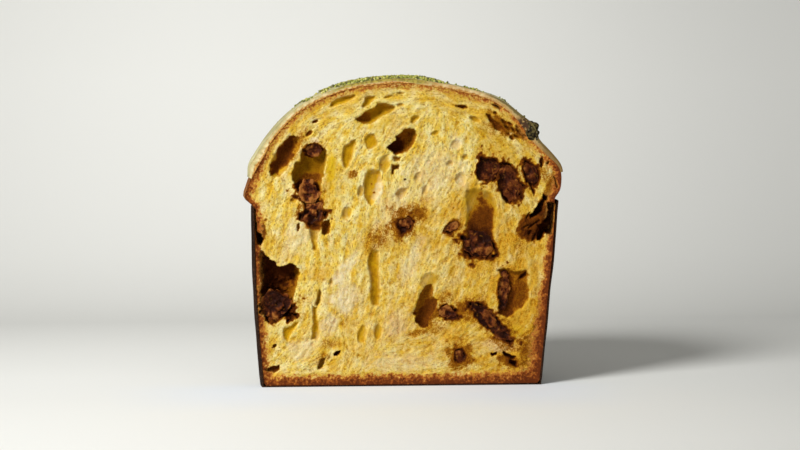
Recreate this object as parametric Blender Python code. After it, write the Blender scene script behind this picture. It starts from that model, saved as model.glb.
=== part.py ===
"""A tall pistachio festive loaf in its paper case, cut down through the middle and standing on its base.

The knife passed a little in front of the loaf's axis, so the piece is slightly more than half. Its flat
cut face looks towards -Y, +Z is up, and the origin is under the middle of the piece on the surface that
it stands on. The pieces are the bread, the pale glaze over its crown with chopped pistachios stuck to it,
one roasted kernel at the right shoulder, the chocolate pieces that the knife opened and the paper case.
Outlines are measured in the cut face: how far across from the middle, and how high above the base.
"""

import math
import random

import bmesh
import bpy
import numpy as np
from mathutils import Matrix, Vector, noise

MM = 0.001
GAP = 0.3 * MM

KNIFE_OFFSET = 14 * MM
OVERALL_DEPTH = 109.8 * MM
CUT_Y = -OVERALL_DEPTH / 2
AXIS_Y = CUT_Y + KNIFE_OFFSET
MIDDLE_X = -0.65 * MM

PAPER = 1.0 * MM
SPOKES = 46
SPAN_STEPS = 2
CRUST_WOBBLE = 0.7 * MM
PAPER_WOBBLE = 0.35 * MM

# Each outline runs upwards, and the left and right ones pair up point by point, in millimetres.
CASE_LEFT = ((83.4, 0.0), (86.9, 40.0), (89.0, 78.0), (89.4, 108.0))
CASE_RIGHT = ((83.4, 0.0), (87.3, 40.0), (91.6, 80.0), (93.6, 111.0))
CROWN_LEFT = (
    (88.0, 107.4), (89.0, 109.2), (93.8, 114.2), (91.8, 121.4), (88.7, 128.5), (83.4, 137.5),
    (77.2, 149.0), (66.0, 162.0), (51.0, 171.8), (34.0, 178.7), (16.0, 181.6), (0.0, 182.2),
)
CROWN_RIGHT = (
    (91.6, 108.5), (91.0, 112.4), (94.2, 117.0), (95.1, 122.0), (92.0, 130.5), (82.5, 139.5),
    (78.6, 148.0), (67.0, 160.5), (54.0, 169.8), (36.0, 176.0), (17.0, 180.2), (0.0, 182.2),
)
CROWN_TIP = 183.0 * MM

GLAZE_TOP = 2.4 * MM
GLAZE_LEFT = 3.9 * MM
GLAZE_RIGHT = 4.0 * MM
GLAZE_THIN_ABOVE = 180 * MM
GLAZE_THICK_BELOW = 150 * MM
GLAZE_EDGE = 129 * MM
GLAZE_EDGE_WAVE = 2.7 * MM
GLAZE_EDGE_THICKNESS = 1.1 * MM
GLAZE_EDGE_RUN = 10 * MM
GLAZE_HEAP = 2.6 * MM
GLAZE_HEAP_REACH = 7 * MM
GLAZE_EDGE_LIFT = 0.5 * MM
GLAZE_LOW_ROWS = 6
GLAZE_FREE_ROW = 145 * MM

CROWN_CHIPS = 44
FLANK_CHIPS = 20
CHIP_RADIUS = (1.2 * MM, 1.9 * MM)
CHIP_BITE = 1.1 * MM

KERNEL_AT = (76.2 * MM, 154.4 * MM)
KERNEL_BEHIND = 1.8 * MM
KERNEL_SIZE = (8.2 * MM, 9.0 * MM, 10.6 * MM)

# Where each chocolate piece lies: across, up, width, height, tilt in degrees, and how far behind the cut.
CHOCOLATE = (
    (-52.8, 142.2, 9.0, 7.0, 0, 3.0),
    (-56.0, 118.5, 14.0, 13.0, 20, 1.6),
    (-52.6, 105.8, 15.0, 12.5, -10, 0.8),
    (1.8, 98.2, 13.0, 12.0, 0, 0.8),
    (51.8, 130.4, 14.0, 14.6, 0, 0.8),
    (65.0, 121.6, 25.0, 12.0, -70, 1.2),
    (77.4, 127.6, 15.0, 8.0, -70, 1.0),
    (45.6, 84.2, 20.0, 15.5, 0, 2.0),
    (29.6, 95.6, 10.5, 5.6, 30, 0.6),
    (-74.2, 49.6, 21.0, 18.0, 0, 4.0),
    (27.8, 43.6, 12.6, 7.6, -28, 0.6),
    (53.2, 38.4, 31.0, 9.6, -43, 0.8),
    (35.6, 16.8, 11.0, 12.0, 0, 1.4),
    (61.4, 57.0, 25.0, 6.0, 86, 2.6),
)

HOLLOW_SET_BACK = 0.37 * MM

# The open hollows of the crumb: across, up, length, width, tilt in degrees, and depth.
HOLLOWS = (
    (-34.4, 172.0, 15.5, 4.8, 18, 3.5),
    (-19.8, 171.0, 8.0, 5.6, 50, 3.5),
    (-15.8, 163.6, 23.5, 9.2, 20, 11.0),
    (0.0, 147.4, 21.5, 10.4, 38, 15.0),
    (-70.4, 139.4, 29.0, 8.4, 58, 8.0),
    (-54.6, 131.0, 27.0, 19.0, 80, 11.0),
    (-31.2, 139.6, 17.5, 7.6, 78, 4.5),
    (-18.6, 119.4, 22.0, 11.6, 84, 6.5),
    (0.6, 115.8, 7.6, 7.6, 0, 3.5),
    (47.4, 99.0, 38.0, 19.0, 88, 8.0),
    (-74.4, 67.6, 29.0, 20.0, 98, 15.0),
    (-66.0, 33.0, 13.0, 8.0, 48, 3.5),
    (-17.4, 64.6, 35.0, 6.4, 90, 4.5),
    (-45.8, 18.2, 17.0, 8.4, 52, 6.0),
    (14.2, 50.4, 29.0, 12.0, 66, 9.0),
    (68.4, 57.6, 27.0, 13.0, 84, 9.0),
    (82.8, 108.8, 15.0, 5.0, 62, 11.0),
    (87.4, 98.8, 21.0, 7.0, 66, 13.0),
    (-88.2, 100.6, 15.0, 3.4, 92, 12.0),
)

COLOURS = {
    "crumb": (0.84, 0.62, 0.24, 0.95),
    "glaze": (0.66, 0.62, 0.42, 0.6),
    "paper": (0.05, 0.026, 0.018, 0.8),
    "chocolate": (0.11, 0.035, 0.02, 0.6),
    "kernel": (0.06, 0.06, 0.035, 0.5),
}


def clear_scene():
    for obj in list(bpy.data.objects):
        bpy.data.objects.remove(obj)


def new_collection(name):
    made = bpy.data.collections.new(name)
    bpy.context.scene.collection.children.link(made)
    return made


def material(name):
    red, green, blue, roughness = COLOURS[name]
    made = bpy.data.materials.new(name)
    made.use_nodes = True
    shader = made.node_tree.nodes["Principled BSDF"]
    shader.inputs["Base Color"].default_value = (red, green, blue, 1)
    shader.inputs["Roughness"].default_value = roughness
    shader.inputs["Metallic"].default_value = 0
    return made


def object_from(bm, name, collection, finish=None):
    """A piece with its finish, or a helper for a Boolean, which has none and isn't rendered."""
    mesh = bpy.data.meshes.new(name)
    bm.to_mesh(mesh)
    bm.free()
    obj = bpy.data.objects.new(name, mesh)
    collection.objects.link(obj)
    if finish:
        mesh.materials.append(finish)
    else:
        obj.hide_render = True
        obj.display_type = "WIRE"
    return obj


def smoothstep(low, high, value):
    share = min(1.0, max(0.0, (value - low) / (high - low)))
    return share * share * (3 - 2 * share)


def right_share(azimuth):
    """How much of the right-hand outline holds at an azimuth: 1 at +X, 0 at -X."""
    return (1 + math.cos(azimuth)) / 2


def blended(left, right, azimuth):
    """The outline at an azimuth, as radii from the loaf's axis and heights, in metres."""
    share = right_share(azimuth)
    points = np.array(left) * (1 - share) + np.array(right) * share
    points *= MM
    points[:, 0] = np.hypot(points[:, 0], KNIFE_OFFSET)
    return points


def smooth_rows(points):
    """Rows along a Catmull-Rom curve through the points, which are rows too."""
    ends = np.vstack([2 * points[0] - points[1], points, 2 * points[-1] - points[-2]])
    rows = [points[0]]
    for before, start, stop, after in zip(ends, ends[1:], ends[2:], ends[3:]):
        for step in range(1, SPAN_STEPS + 1):
            t = step / SPAN_STEPS
            rows.append(
                0.5 * (
                    2 * start
                    + (stop - before) * t
                    + (2 * before - 5 * start + 4 * stop - after) * t * t
                    + (3 * start - 3 * stop + after - before) * t * t * t
                )
            )
    return np.array(rows)


def around(azimuth, height, scale):
    """A smooth bumpiness between -1 and 1 at a place on the loaf's side."""
    reach = 90 * MM / scale
    return noise.noise(Vector((math.cos(azimuth) * reach, math.sin(azimuth) * reach, height / scale)))


def case_rows(azimuth):
    """The outer face of the paper, from the base's edge to the rim."""
    rows = smooth_rows(blended(CASE_LEFT, CASE_RIGHT, azimuth))
    rim = rows[-1][1]
    for row in rows:
        row[0] += PAPER_WOBBLE * around(azimuth, row[1], 16 * MM) * smoothstep(0, rim / 3, row[1])
    return rows


def bread_rows(azimuth):
    """The crust from the base's edge up inside the paper, over the rim and up the crown to its tip."""
    wall = case_rows(azimuth)[:-1] - (PAPER + GAP, 0)
    wall[0][1] = PAPER + GAP
    corner = np.array([[wall[0][0] - 1.2 * MM, PAPER + GAP]])
    wall[0][1] += 1.6 * MM
    crown = smooth_rows(blended(CROWN_LEFT, CROWN_RIGHT, azimuth))
    rim = crown[0][1]
    for row in crown:
        bump = around(azimuth, row[1], 24 * MM) + 0.5 * around(azimuth, row[1], 10 * MM)
        row[0] += CRUST_WOBBLE * bump * smoothstep(rim + 3 * MM, rim + 14 * MM, row[1])
    return np.vstack([corner, wall, crown])


def outward(rows):
    """Unit normals of a row of points that runs upwards, pointing away from the axis."""
    along = np.gradient(np.vstack([rows, [[0.0, CROWN_TIP]]]), axis=0)[:-1]
    normals = np.column_stack([along[:, 1], -along[:, 0]])
    return normals / np.linalg.norm(normals, axis=1)[:, None]


def beside_axis(radius, azimuth, height):
    return Vector((MIDDLE_X + radius * math.cos(azimuth), AXIS_Y + radius * math.sin(azimuth), height))


def in_cut(across, behind, up):
    """The point this far across from the middle of the cut, behind it and above the base."""
    return Vector((MIDDLE_X + across, CUT_Y + behind, up))


def azimuths():
    return [2 * math.pi * spoke / SPOKES for spoke in range(SPOKES)]


def loft(profiles, low_tip, high_tip):
    """A closed skin through one profile for each azimuth, closed on the axis at two heights."""
    bm = bmesh.new()
    rings = [
        [bm.verts.new(beside_axis(radius, azimuth, height)) for radius, height in profile]
        for azimuth, profile in zip(azimuths(), profiles)
    ]
    low = bm.verts.new(beside_axis(0, 0, low_tip))
    high = bm.verts.new(beside_axis(0, 0, high_tip))
    for here, there in zip(rings, rings[1:] + rings[:1]):
        bm.faces.new((low, there[0], here[0]))
        bm.faces.new((high, here[-1], there[-1]))
        for i in range(len(here) - 1):
            bm.faces.new((here[i], there[i], there[i + 1], here[i + 1]))
    return bm


def boolean(obj, operation, other):
    """Cuts or joins one object, or every object of a collection, and applies the result."""
    modifier = obj.modifiers.new(operation.lower(), "BOOLEAN")
    modifier.operation = operation
    modifier.solver = "EXACT"
    if isinstance(other, bpy.types.Collection):
        modifier.operand_type = "COLLECTION"
        modifier.collection = other
    else:
        modifier.object = other
    bpy.context.view_layer.objects.active = obj
    bpy.ops.object.modifier_apply(modifier=modifier.name)


def empty_out(collection):
    for obj in list(collection.objects):
        bpy.data.objects.remove(obj)


def knife(cutters):
    """A block that takes away everything in front of the cut."""
    bm = bmesh.new()
    bmesh.ops.create_cube(bm, size=400 * MM)
    bmesh.ops.translate(bm, verts=bm.verts, vec=(0, CUT_Y - 200 * MM, 100 * MM))
    block = object_from(bm, "knife", cutters)
    return block


def blob(size, place, tilt, seed, lumpiness, detail):
    """A rough ball of a given size, turned in the plane of the cut, as a bmesh."""
    bm = bmesh.new()
    bmesh.ops.create_icosphere(bm, subdivisions=detail, radius=0.5)
    shift = Vector((seed * 7.3, seed * 3.1, seed * 5.7))
    for vert in bm.verts:
        vert.co *= 1 + lumpiness * noise.noise(vert.co * 3.2 + shift)
    turn = Matrix.Rotation(-math.radians(tilt), 4, "Y")
    bm.transform(Matrix.Translation(place) @ turn @ Matrix.Diagonal((*size, 1)))
    return bm


def chocolate_blob(index, spare=0.0):
    """One chocolate piece, or with spare the pocket that holds it."""
    across, up, width, height, tilt, behind = CHOCOLATE[index]
    depth = 0.5 * (width + height) * 0.9
    size = [side * MM + 2 * spare for side in (width, depth, height)]
    place = in_cut(across * MM, (behind + 0.5) * MM, up * MM)
    return blob(size, place, tilt, index + 1, 0.18, 2)


def make_chocolate(parts, finish):
    for index, piece in enumerate(CHOCOLATE):
        bm = chocolate_blob(index)
        front = CUT_Y + piece[-1] * MM
        for vert in bm.verts:
            vert.co.y = max(vert.co.y, front + 0.25 * MM * noise.noise(vert.co / (2 * MM)))
        object_from(bm, f"chocolate_{index + 1:02d}", parts, finish)


def kernel_blob(spare=0.0):
    size = [side + 2 * spare for side in KERNEL_SIZE]
    place = in_cut(KERNEL_AT[0], KERNEL_BEHIND, KERNEL_AT[1])
    return blob(size, place, 12, 31, 0.1, 2)


def make_kernel(parts, finish):
    bm = kernel_blob()
    for vert in bm.verts:
        vert.co.y = max(vert.co.y, CUT_Y)
    object_from(bm, "roasted_kernel", parts, finish)


def make_case(parts, finish, block):
    """A cup of thin dark paper that stands on a flat floor, sliced with the loaf."""
    profiles = []
    for azimuth in azimuths():
        outside = case_rows(azimuth)
        inside = outside[::-1] - (PAPER, 0)
        inside[-1][1] = PAPER
        profiles.append(np.vstack([outside, inside]))
    case = object_from(loft(profiles, 0, PAPER), "paper_case", parts, finish)
    boolean(case, "DIFFERENCE", block)


def make_bread(parts, finish, block, cutters):
    """The loaf itself, with the hollows that the knife opened and a pocket for each piece in it."""
    profiles = [bread_rows(azimuth) for azimuth in azimuths()]
    bread = object_from(loft(profiles, PAPER + GAP, CROWN_TIP), "loaf", parts, finish)
    for index in range(len(CHOCOLATE)):
        object_from(chocolate_blob(index, 2 * GAP), f"pocket_{index}", cutters)
    for index, (across, up, length, width, tilt, depth) in enumerate(HOLLOWS):
        size = (length * MM, 2 * depth * MM, width * MM)
        place = in_cut(across * MM, HOLLOW_SET_BACK, up * MM)
        object_from(blob(size, place, tilt, index + 50, 0.25, 2), f"hollow_{index}", cutters)
    object_from(kernel_blob(GAP), "kernel_pocket", cutters)
    boolean(bread, "DIFFERENCE", cutters)
    empty_out(cutters)
    boolean(bread, "DIFFERENCE", block)


def glaze_thickness(azimuth, row):
    """Thin on the crown, thicker where it ran down, and heaped round the kernel at the right shoulder."""
    radius, height = row
    low_down = GLAZE_LEFT + (GLAZE_RIGHT - GLAZE_LEFT) * right_share(azimuth)
    share = smoothstep(GLAZE_THICK_BELOW, GLAZE_THIN_ABOVE, height)
    from_kernel = (beside_axis(radius, azimuth, height) - in_cut(KERNEL_AT[0], 0, KERNEL_AT[1])).length
    heap = GLAZE_HEAP * math.exp(-((from_kernel / GLAZE_HEAP_REACH) ** 2))
    return low_down + (GLAZE_TOP - low_down) * share + heap


def glaze_edge(azimuth):
    """How far down the glaze ran before it set."""
    runs = math.sin(3 * azimuth + 1.1) + 0.8 * math.sin(7 * azimuth + 0.4) + 0.4 * math.sin(12 * azimuth)
    return GLAZE_EDGE + GLAZE_EDGE_WAVE * runs


def glaze_faces(azimuth):
    """The rows of the glaze's outer and inner face at an azimuth, both from the edge up to the tip."""
    rows = bread_rows(azimuth)
    normals = outward(rows)
    lip = int(np.argmax(rows[:, 0]))
    free = int(np.argmax(rows[:, 1] > GLAZE_FREE_ROW))
    heights = np.linspace(glaze_edge(azimuth), rows[free][1], GLAZE_LOW_ROWS + 1)[:-1]
    columns = np.hstack([rows, normals])[lip:]
    low = np.column_stack([np.interp(heights, columns[:, 1], column) for column in columns.T])
    both = np.vstack([low, np.hstack([rows, normals])[free:]])
    rows, normals = both[:, :2], both[:, 2:]
    run = np.concatenate([[0], np.cumsum(np.linalg.norm(np.diff(rows, axis=0), axis=1))])
    swell = np.array([smoothstep(0, GLAZE_EDGE_RUN, length) for length in run])
    full = np.array([glaze_thickness(azimuth, row) for row in rows])
    thickness = GLAZE_EDGE_THICKNESS + (full - GLAZE_EDGE_THICKNESS) * swell
    lift = GAP + GLAZE_EDGE_LIFT * (1 - np.clip(run / (1.6 * GLAZE_EDGE_RUN), 0, 1))
    inner = rows + normals * lift[:, None]
    outer = rows + normals * (lift + thickness)[:, None]
    return outer, inner


def make_glaze(parts, finish, block, chips):
    """A shell of set glaze over the crown, with the chopped pistachios fused on it."""
    profiles = []
    for azimuth in azimuths():
        outer, inner = glaze_faces(azimuth)
        profiles.append(np.vstack([inner[::-1], outer]))
    tip = CROWN_TIP + GAP
    glaze = object_from(loft(profiles, tip, tip + GLAZE_TOP), "glaze", parts, finish)
    boolean(glaze, "UNION", chips)
    empty_out(chips)
    boolean(glaze, "DIFFERENCE", block)
    object_from(kernel_blob(GAP), "kernel_socket", chips)
    boolean(glaze, "DIFFERENCE", chips)
    empty_out(chips)


def chip_places(draw):
    """Points on the glaze for the chopped pistachios: many on the crown and a few down the flanks."""
    placed = []
    while len(placed) < CROWN_CHIPS + FLANK_CHIPS:
        crown = len(placed) < CROWN_CHIPS
        azimuth = draw.uniform(-0.12 * math.pi, 1.12 * math.pi)
        radius = draw.uniform(0.05, 0.5) if crown else draw.uniform(0.5, 0.9)
        outer, _ = glaze_faces(azimuth)
        reach = radius * outer[:, 0].max()
        row = len(outer) - int(np.searchsorted(outer[::-1, 0], reach)) - 1
        place = beside_axis(outer[row][0], azimuth, outer[row][1])
        if place.y > CUT_Y + 1 * MM and all((place - other).length > 5 * MM for other in placed):
            placed.append(place)
    return placed


def make_chips(chips):
    draw = random.Random(12)
    centre = beside_axis(0, 0, 120 * MM)
    for index, place in enumerate(chip_places(draw)):
        radius = draw.uniform(*CHIP_RADIUS)
        size = [2 * radius * draw.uniform(0.8, 1.2) for _ in range(3)]
        raised = place + (place - centre).normalized() * (radius - CHIP_BITE)
        bm = blob(size, raised, draw.uniform(0, 180), index + 90, 0.2, 1)
        object_from(bm, f"chip_{index}", chips)


def main():
    clear_scene()
    parts = new_collection("pistachio_festive_loaf")
    cutters = new_collection("cutters")
    knives = new_collection("knives")
    chips = new_collection("chips")
    block = knife(knives)
    make_case(parts, material("paper"), block)
    make_bread(parts, material("crumb"), block, cutters)
    make_chips(chips)
    make_glaze(parts, material("glaze"), block, chips)
    make_kernel(parts, material("kernel"))
    make_chocolate(parts, material("chocolate"))
    for obj in parts.objects:
        obj.data.shade_smooth()
        obj.data.set_sharp_from_angle(angle=math.radians(40))


main()
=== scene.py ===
# %% [markdown]
# # A pistachio festive loaf, cut down the middle
# The object is a tall domed loaf in a dark paper case. A knife has gone down just in front of its middle, so
# a flat face shows the open yellow crumb, the baked chocolate in it, and the pale glaze over the crown.
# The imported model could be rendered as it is, but its faces are plain. So it serves as the frame: each of
# its nodes is replaced by a finer piece of the same size in the same place. Every length is in metres.

import math

import bmesh
import bpy
import numpy as np
from mathutils import Matrix, Vector, noise


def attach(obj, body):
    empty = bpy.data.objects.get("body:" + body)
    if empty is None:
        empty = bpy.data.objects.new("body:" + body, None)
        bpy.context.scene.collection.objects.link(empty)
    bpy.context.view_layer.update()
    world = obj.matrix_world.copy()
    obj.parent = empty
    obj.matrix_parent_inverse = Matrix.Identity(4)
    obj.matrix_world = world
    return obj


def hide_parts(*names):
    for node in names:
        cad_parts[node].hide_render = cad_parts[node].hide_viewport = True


MM = 0.001
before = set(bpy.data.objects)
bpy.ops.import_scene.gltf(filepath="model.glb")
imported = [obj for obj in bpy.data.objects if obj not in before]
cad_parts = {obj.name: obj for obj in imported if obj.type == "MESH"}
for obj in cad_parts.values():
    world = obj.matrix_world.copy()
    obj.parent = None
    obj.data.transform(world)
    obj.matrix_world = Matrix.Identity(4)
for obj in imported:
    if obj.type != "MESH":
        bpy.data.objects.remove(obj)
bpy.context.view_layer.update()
print("nodes to dress:", len(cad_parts))

# %% [markdown]
# ## The camera
# A long lens from a little over a metre away keeps the walls of the case nearly upright, as in a product
# picture. The camera could track an empty, but a direction and a distance from one point say the same in
# fewer parts: it stands slightly to the left and looks slightly down.

# %% The camera
CUT_Y = -54.9 * MM
MIDDLE_X = -0.65 * MM
LOOK_AT = Vector((-1.85 * MM, CUT_Y, 97.1 * MM))
LENS_MM = 100
SENSOR_MM = 36
WIDTH_SEEN = 478.5 * MM
AZIMUTH = math.radians(-4)
ELEVATION = math.radians(4.5)


def linked(name, data):
    """An object in the scene that holds this mesh, camera or light."""
    made = bpy.data.objects.new(name, data)
    bpy.context.scene.collection.objects.link(made)
    return made


backwards = Vector((
    math.sin(AZIMUTH) * math.cos(ELEVATION),
    -math.cos(AZIMUTH) * math.cos(ELEVATION),
    math.sin(ELEVATION),
))
camera = linked("camera", bpy.data.cameras.new("camera"))
camera.data.lens = LENS_MM
camera.data.sensor_width = SENSOR_MM
camera.location = LOOK_AT + backwards * WIDTH_SEEN * LENS_MM / SENSOR_MM
camera.rotation_mode = "QUATERNION"
camera.rotation_quaternion = (-backwards).to_track_quat("-Z", "Y")
bpy.context.scene.camera = camera
print("camera at", [round(c, 3) for c in camera.location])

# %% [markdown]
# ## Meshes from arrays
# Thousands of vertices are quicker to work out as NumPy arrays than one by one, so every piece here is
# worked out as an array of places and an array of faces. Values that the materials need, such as how brown
# a place is, are stored on the vertices as named attributes.

# %% Meshes from arrays
def new_piece(name, places, faces, values=None):
    """A smooth mesh object from vertex places, faces and named values for each vertex."""
    mesh = bpy.data.meshes.new(name)
    mesh.from_pydata(np.asarray(places).tolist(), [], [list(map(int, face)) for face in faces])
    for key, numbers in (values or {}).items():
        numbers = np.asarray(numbers, dtype=np.float32)
        kind, field = ("FLOAT", "value") if numbers.ndim == 1 else ("FLOAT_VECTOR", "vector")
        mesh.attributes.new(key, kind, "POINT").data.foreach_set(field, numbers.ravel())
    mesh.shade_smooth()
    return linked(name, mesh)


def faults(piece):
    """How many edges of a piece don't join exactly two faces."""
    bm = bmesh.new()
    bm.from_mesh(piece.data)
    count = sum(not edge.is_manifold for edge in bm.edges)
    bm.free()
    return count


def smoothstep(low, high, value):
    """0 at low, 1 at high, and smooth between them; low may be the greater."""
    share = np.clip((value - low) / (high - low), 0, 1)
    return share * share * (3 - 2 * share)


def hashed(i, j, k, seed):
    """A fixed random number from 0 to 1 for each corner of a lattice."""
    mixed = (i * 73856093) ^ (j * 19349663) ^ (k * 83492791) ^ (seed * 2654435761)
    mixed = (mixed ^ (mixed >> 13)) * 1274126177 & 0xFFFFFFFF
    mixed = (mixed ^ (mixed >> 16)) * 2246822519 & 0xFFFFFFFF
    return ((mixed ^ (mixed >> 15)) & 0xFFFF) / 65535


def lumps(x, y, z, size, seed):
    """Smooth noise from -1 to 1 whose lumps are about this size."""
    cells, shares = [], []
    for line in (x, y, z):
        scaled = np.asarray(line, dtype=float) / size + 1000
        whole = np.floor(scaled).astype(np.int64)
        part = scaled - whole
        cells.append(whole)
        shares.append(part * part * (3 - 2 * part))
    total = 0
    for di in (0, 1):
        for dj in (0, 1):
            for dk in (0, 1):
                weight = 1
                for step, share in zip((di, dj, dk), shares):
                    weight = weight * (share if step else 1 - share)
                total = total + weight * hashed(cells[0] + di, cells[1] + dj, cells[2] + dk, seed)
    return 2 * total - 1


def rough(x, y, z, size, seed, octaves=3):
    """Lumps with finer lumps on them."""
    return sum(lumps(x, y, z, size / 2 ** n, seed + n) / 2 ** n for n in range(octaves)) / 1.5


# %% [markdown]
# ## Outlines of the turned forms
# The case, the bread and the glaze are all nearly round, but the loaf leaned as it rose, so its left and
# right outlines differ. They could be sculpted; here each form is turned round the loaf's axis, with an
# outline that passes smoothly from the left one to the right one. The solids were made in the same way, from
# outlines that depart from these by about a millimetre.

# %% Outlines of the turned forms
KNIFE_OFFSET = 14 * MM
AXIS_Y = CUT_Y + KNIFE_OFFSET
PAPER = 0.7 * MM
GAP = 0.3 * MM
LOAF_RADIUS = 90 * MM
PAPER_WOBBLE = 0.35 * MM
PAPER_LUMPS = 16 * MM
CRUST_WOBBLE = 0.7 * MM
CRUST_LUMPS = (24 * MM, 10 * MM)
CRUST_CALM_ABOVE_RIM = (3 * MM, 14 * MM)
BASE_CORNER_IN = 1.2 * MM
BASE_CORNER_UP = 1.6 * MM
# Across from the middle and up, on the cut and in millimetres: foot to rim, then rim to tip.
CASE_LEFT = ((83.8, 0.0), (86.8, 40.0), (88.4, 78.0), (88.9, 108.0))
CASE_RIGHT = ((84.2, 0.0), (87.9, 40.0), (91.8, 80.0), (94.2, 111.0))
CROWN_LEFT = (
    (88.0, 107.4), (89.0, 109.2), (93.8, 114.2), (91.8, 121.4), (88.7, 128.5), (83.4, 137.5),
    (77.0, 149.0), (65.4, 161.8), (50.2, 171.6), (33.6, 178.0), (16.0, 181.3), (0.0, 182.2),
)
CROWN_RIGHT = (
    (92.4, 108.5), (92.0, 112.4), (95.0, 117.0), (95.9, 122.0), (94.8, 131.2), (87.2, 139.0),
    (79.2, 147.0), (68.4, 161.5), (55.0, 171.4), (36.4, 176.9), (17.0, 180.2), (0.0, 182.2),
)
CROWN_TIP = 183.0 * MM


def blended(left, right, angles):
    """For each angle, the outline as radii from the axis and heights: an array of angles, rows and two."""
    share = ((1 + np.cos(angles)) / 2)[:, None, None]
    points = (np.array(left) * (1 - share) + np.array(right) * share) * MM
    points[..., 0] = np.hypot(points[..., 0], KNIFE_OFFSET)
    return points


def smooth_rows(points, steps):
    """Rows along a Catmull-Rom curve through the points, with this many steps between two of them."""
    first, last = points[:, :1], points[:, -1:]
    ends = np.concatenate([2 * first - points[:, 1:2], points, 2 * last - points[:, -2:-1]], axis=1)
    before, start, stop, after = (ends[:, n:n + points.shape[1] - 1] for n in range(4))
    rows = []
    for step in range(steps):
        t = step / steps
        rows.append(
            0.5 * (
                2 * start + (stop - before) * t
                + (2 * before - 5 * start + 4 * stop - after) * t * t
                + (3 * start - 3 * stop + after - before) * t * t * t
            )
        )
    woven = np.stack(rows, axis=2).reshape(points.shape[0], -1, 2)
    return np.concatenate([woven, last], axis=1)


def around(angles, heights, scale):
    """A smooth bumpiness between -1 and 1 on the loaf's side, at angles and rows of heights."""
    reach = LOAF_RADIUS / scale
    flat = np.broadcast_to(angles[:, None], heights.shape)
    places = zip((np.cos(flat) * reach).flat, (np.sin(flat) * reach).flat, (heights / scale).flat)
    return np.array([noise.noise(Vector(place)) for place in places]).reshape(heights.shape)


def case_rows(angles, steps):
    """Radii and heights of the case's outer face, from its foot to its rim."""
    rows = smooth_rows(blended(CASE_LEFT, CASE_RIGHT, angles), steps)
    heights = rows[..., 1]
    above_fold = smoothstep(0, heights[:, -1:] / 3, heights)
    rows[..., 0] += PAPER_WOBBLE * around(angles, heights, PAPER_LUMPS) * above_fold
    return rows


def bread_rows(angles, steps):
    """Radii and heights of the bread, from the corner of its base to its crown."""
    wall = case_rows(angles, steps)[:, :-steps] - (PAPER + GAP, 0)
    wall[:, 0, 1] = PAPER + GAP
    corner = wall[:, :1] - (BASE_CORNER_IN, 0)
    wall[:, 0, 1] += BASE_CORNER_UP
    crown = smooth_rows(blended(CROWN_LEFT, CROWN_RIGHT, angles), steps)
    heights = crown[..., 1]
    broad, fine = (around(angles, heights, size) for size in CRUST_LUMPS)
    calm_to, full_from = (heights[:, :1] + above for above in CRUST_CALM_ABOVE_RIM)
    crown[..., 0] += CRUST_WOBBLE * (broad + 0.5 * fine) * smoothstep(calm_to, full_from, heights)
    return np.concatenate([corner, wall, crown], axis=1)


def turned(rows, angles):
    """Places in the frame of rows of radii and heights at each angle."""
    radii, heights = rows[..., 0], rows[..., 1]
    return np.stack(
        [
            MIDDLE_X + radii * np.cos(angles)[:, None],
            AXIS_Y + radii * np.sin(angles)[:, None],
            heights,
        ],
        axis=-1,
    )


def all_round(count):
    """This many angles, evenly round the axis."""
    return np.arange(count) * 2 * math.pi / count


def turned_mesh(places, low_tip, high_tip):
    """A closed mesh from places at each angle and row, closed on the axis at two heights."""
    spokes, rows = places.shape[:2]
    index = np.arange(spokes * rows).reshape(spokes, rows)
    beyond = np.roll(index, -1, axis=0)
    quads = np.stack([index[:, :-1], beyond[:, :-1], beyond[:, 1:], index[:, 1:]], axis=-1).reshape(-1, 4)
    low, high = spokes * rows, spokes * rows + 1
    bottom = [(low, there, here) for here, there in zip(index[:, 0], beyond[:, 0])]
    top = [(high, here, there) for here, there in zip(index[:, -1], beyond[:, -1])]
    tips = [(MIDDLE_X, AXIS_Y, low_tip), (MIDDLE_X, AXIS_Y, high_tip)]
    return np.vstack([places.reshape(-1, 3), tips]), quads.tolist() + bottom + top


def sliced(places, faces, capped, skin=None):
    """A bmesh of the body without what lies in front of the knife, and the edges that the knife left."""
    mesh = bpy.data.meshes.new("whole")
    mesh.from_pydata(places.tolist(), [], faces)
    if skin is not None:
        mesh.attributes.new("skin", "FLOAT", "POINT").data.foreach_set("value", skin)
    bm = bmesh.new()
    bm.from_mesh(mesh)
    bpy.data.meshes.remove(mesh)
    parts = bm.verts[:] + bm.edges[:] + bm.faces[:]
    cut = bmesh.ops.bisect_plane(
        bm, geom=parts, dist=1e-7, plane_co=(0, CUT_Y, 0), plane_no=(0, -1, 0), clear_outer=True
    )
    edges = [part for part in cut["geom_cut"] if isinstance(part, bmesh.types.BMEdge)]
    if capped:
        caps = bmesh.ops.holes_fill(bm, edges=edges, sides=0)["faces"]
        for face in caps:
            face.material_index = 1
        bmesh.ops.triangulate(bm, faces=caps)
    return bm, edges


# %% [markdown]
# ## Finishes
# Materials are made of shader nodes. Wiring them by hand takes many lines for a small sum, so one class
# wraps a socket and lets Python's own operators add the Math nodes, and another makes any other node.

# %% Finishes
# The Mix node has sockets of the same names for numbers and for colours, so the colour ones go by number.
MIX_SHARE, MIX_FIRST, MIX_SECOND, MIX_RESULT = 0, 6, 7, 2


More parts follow.
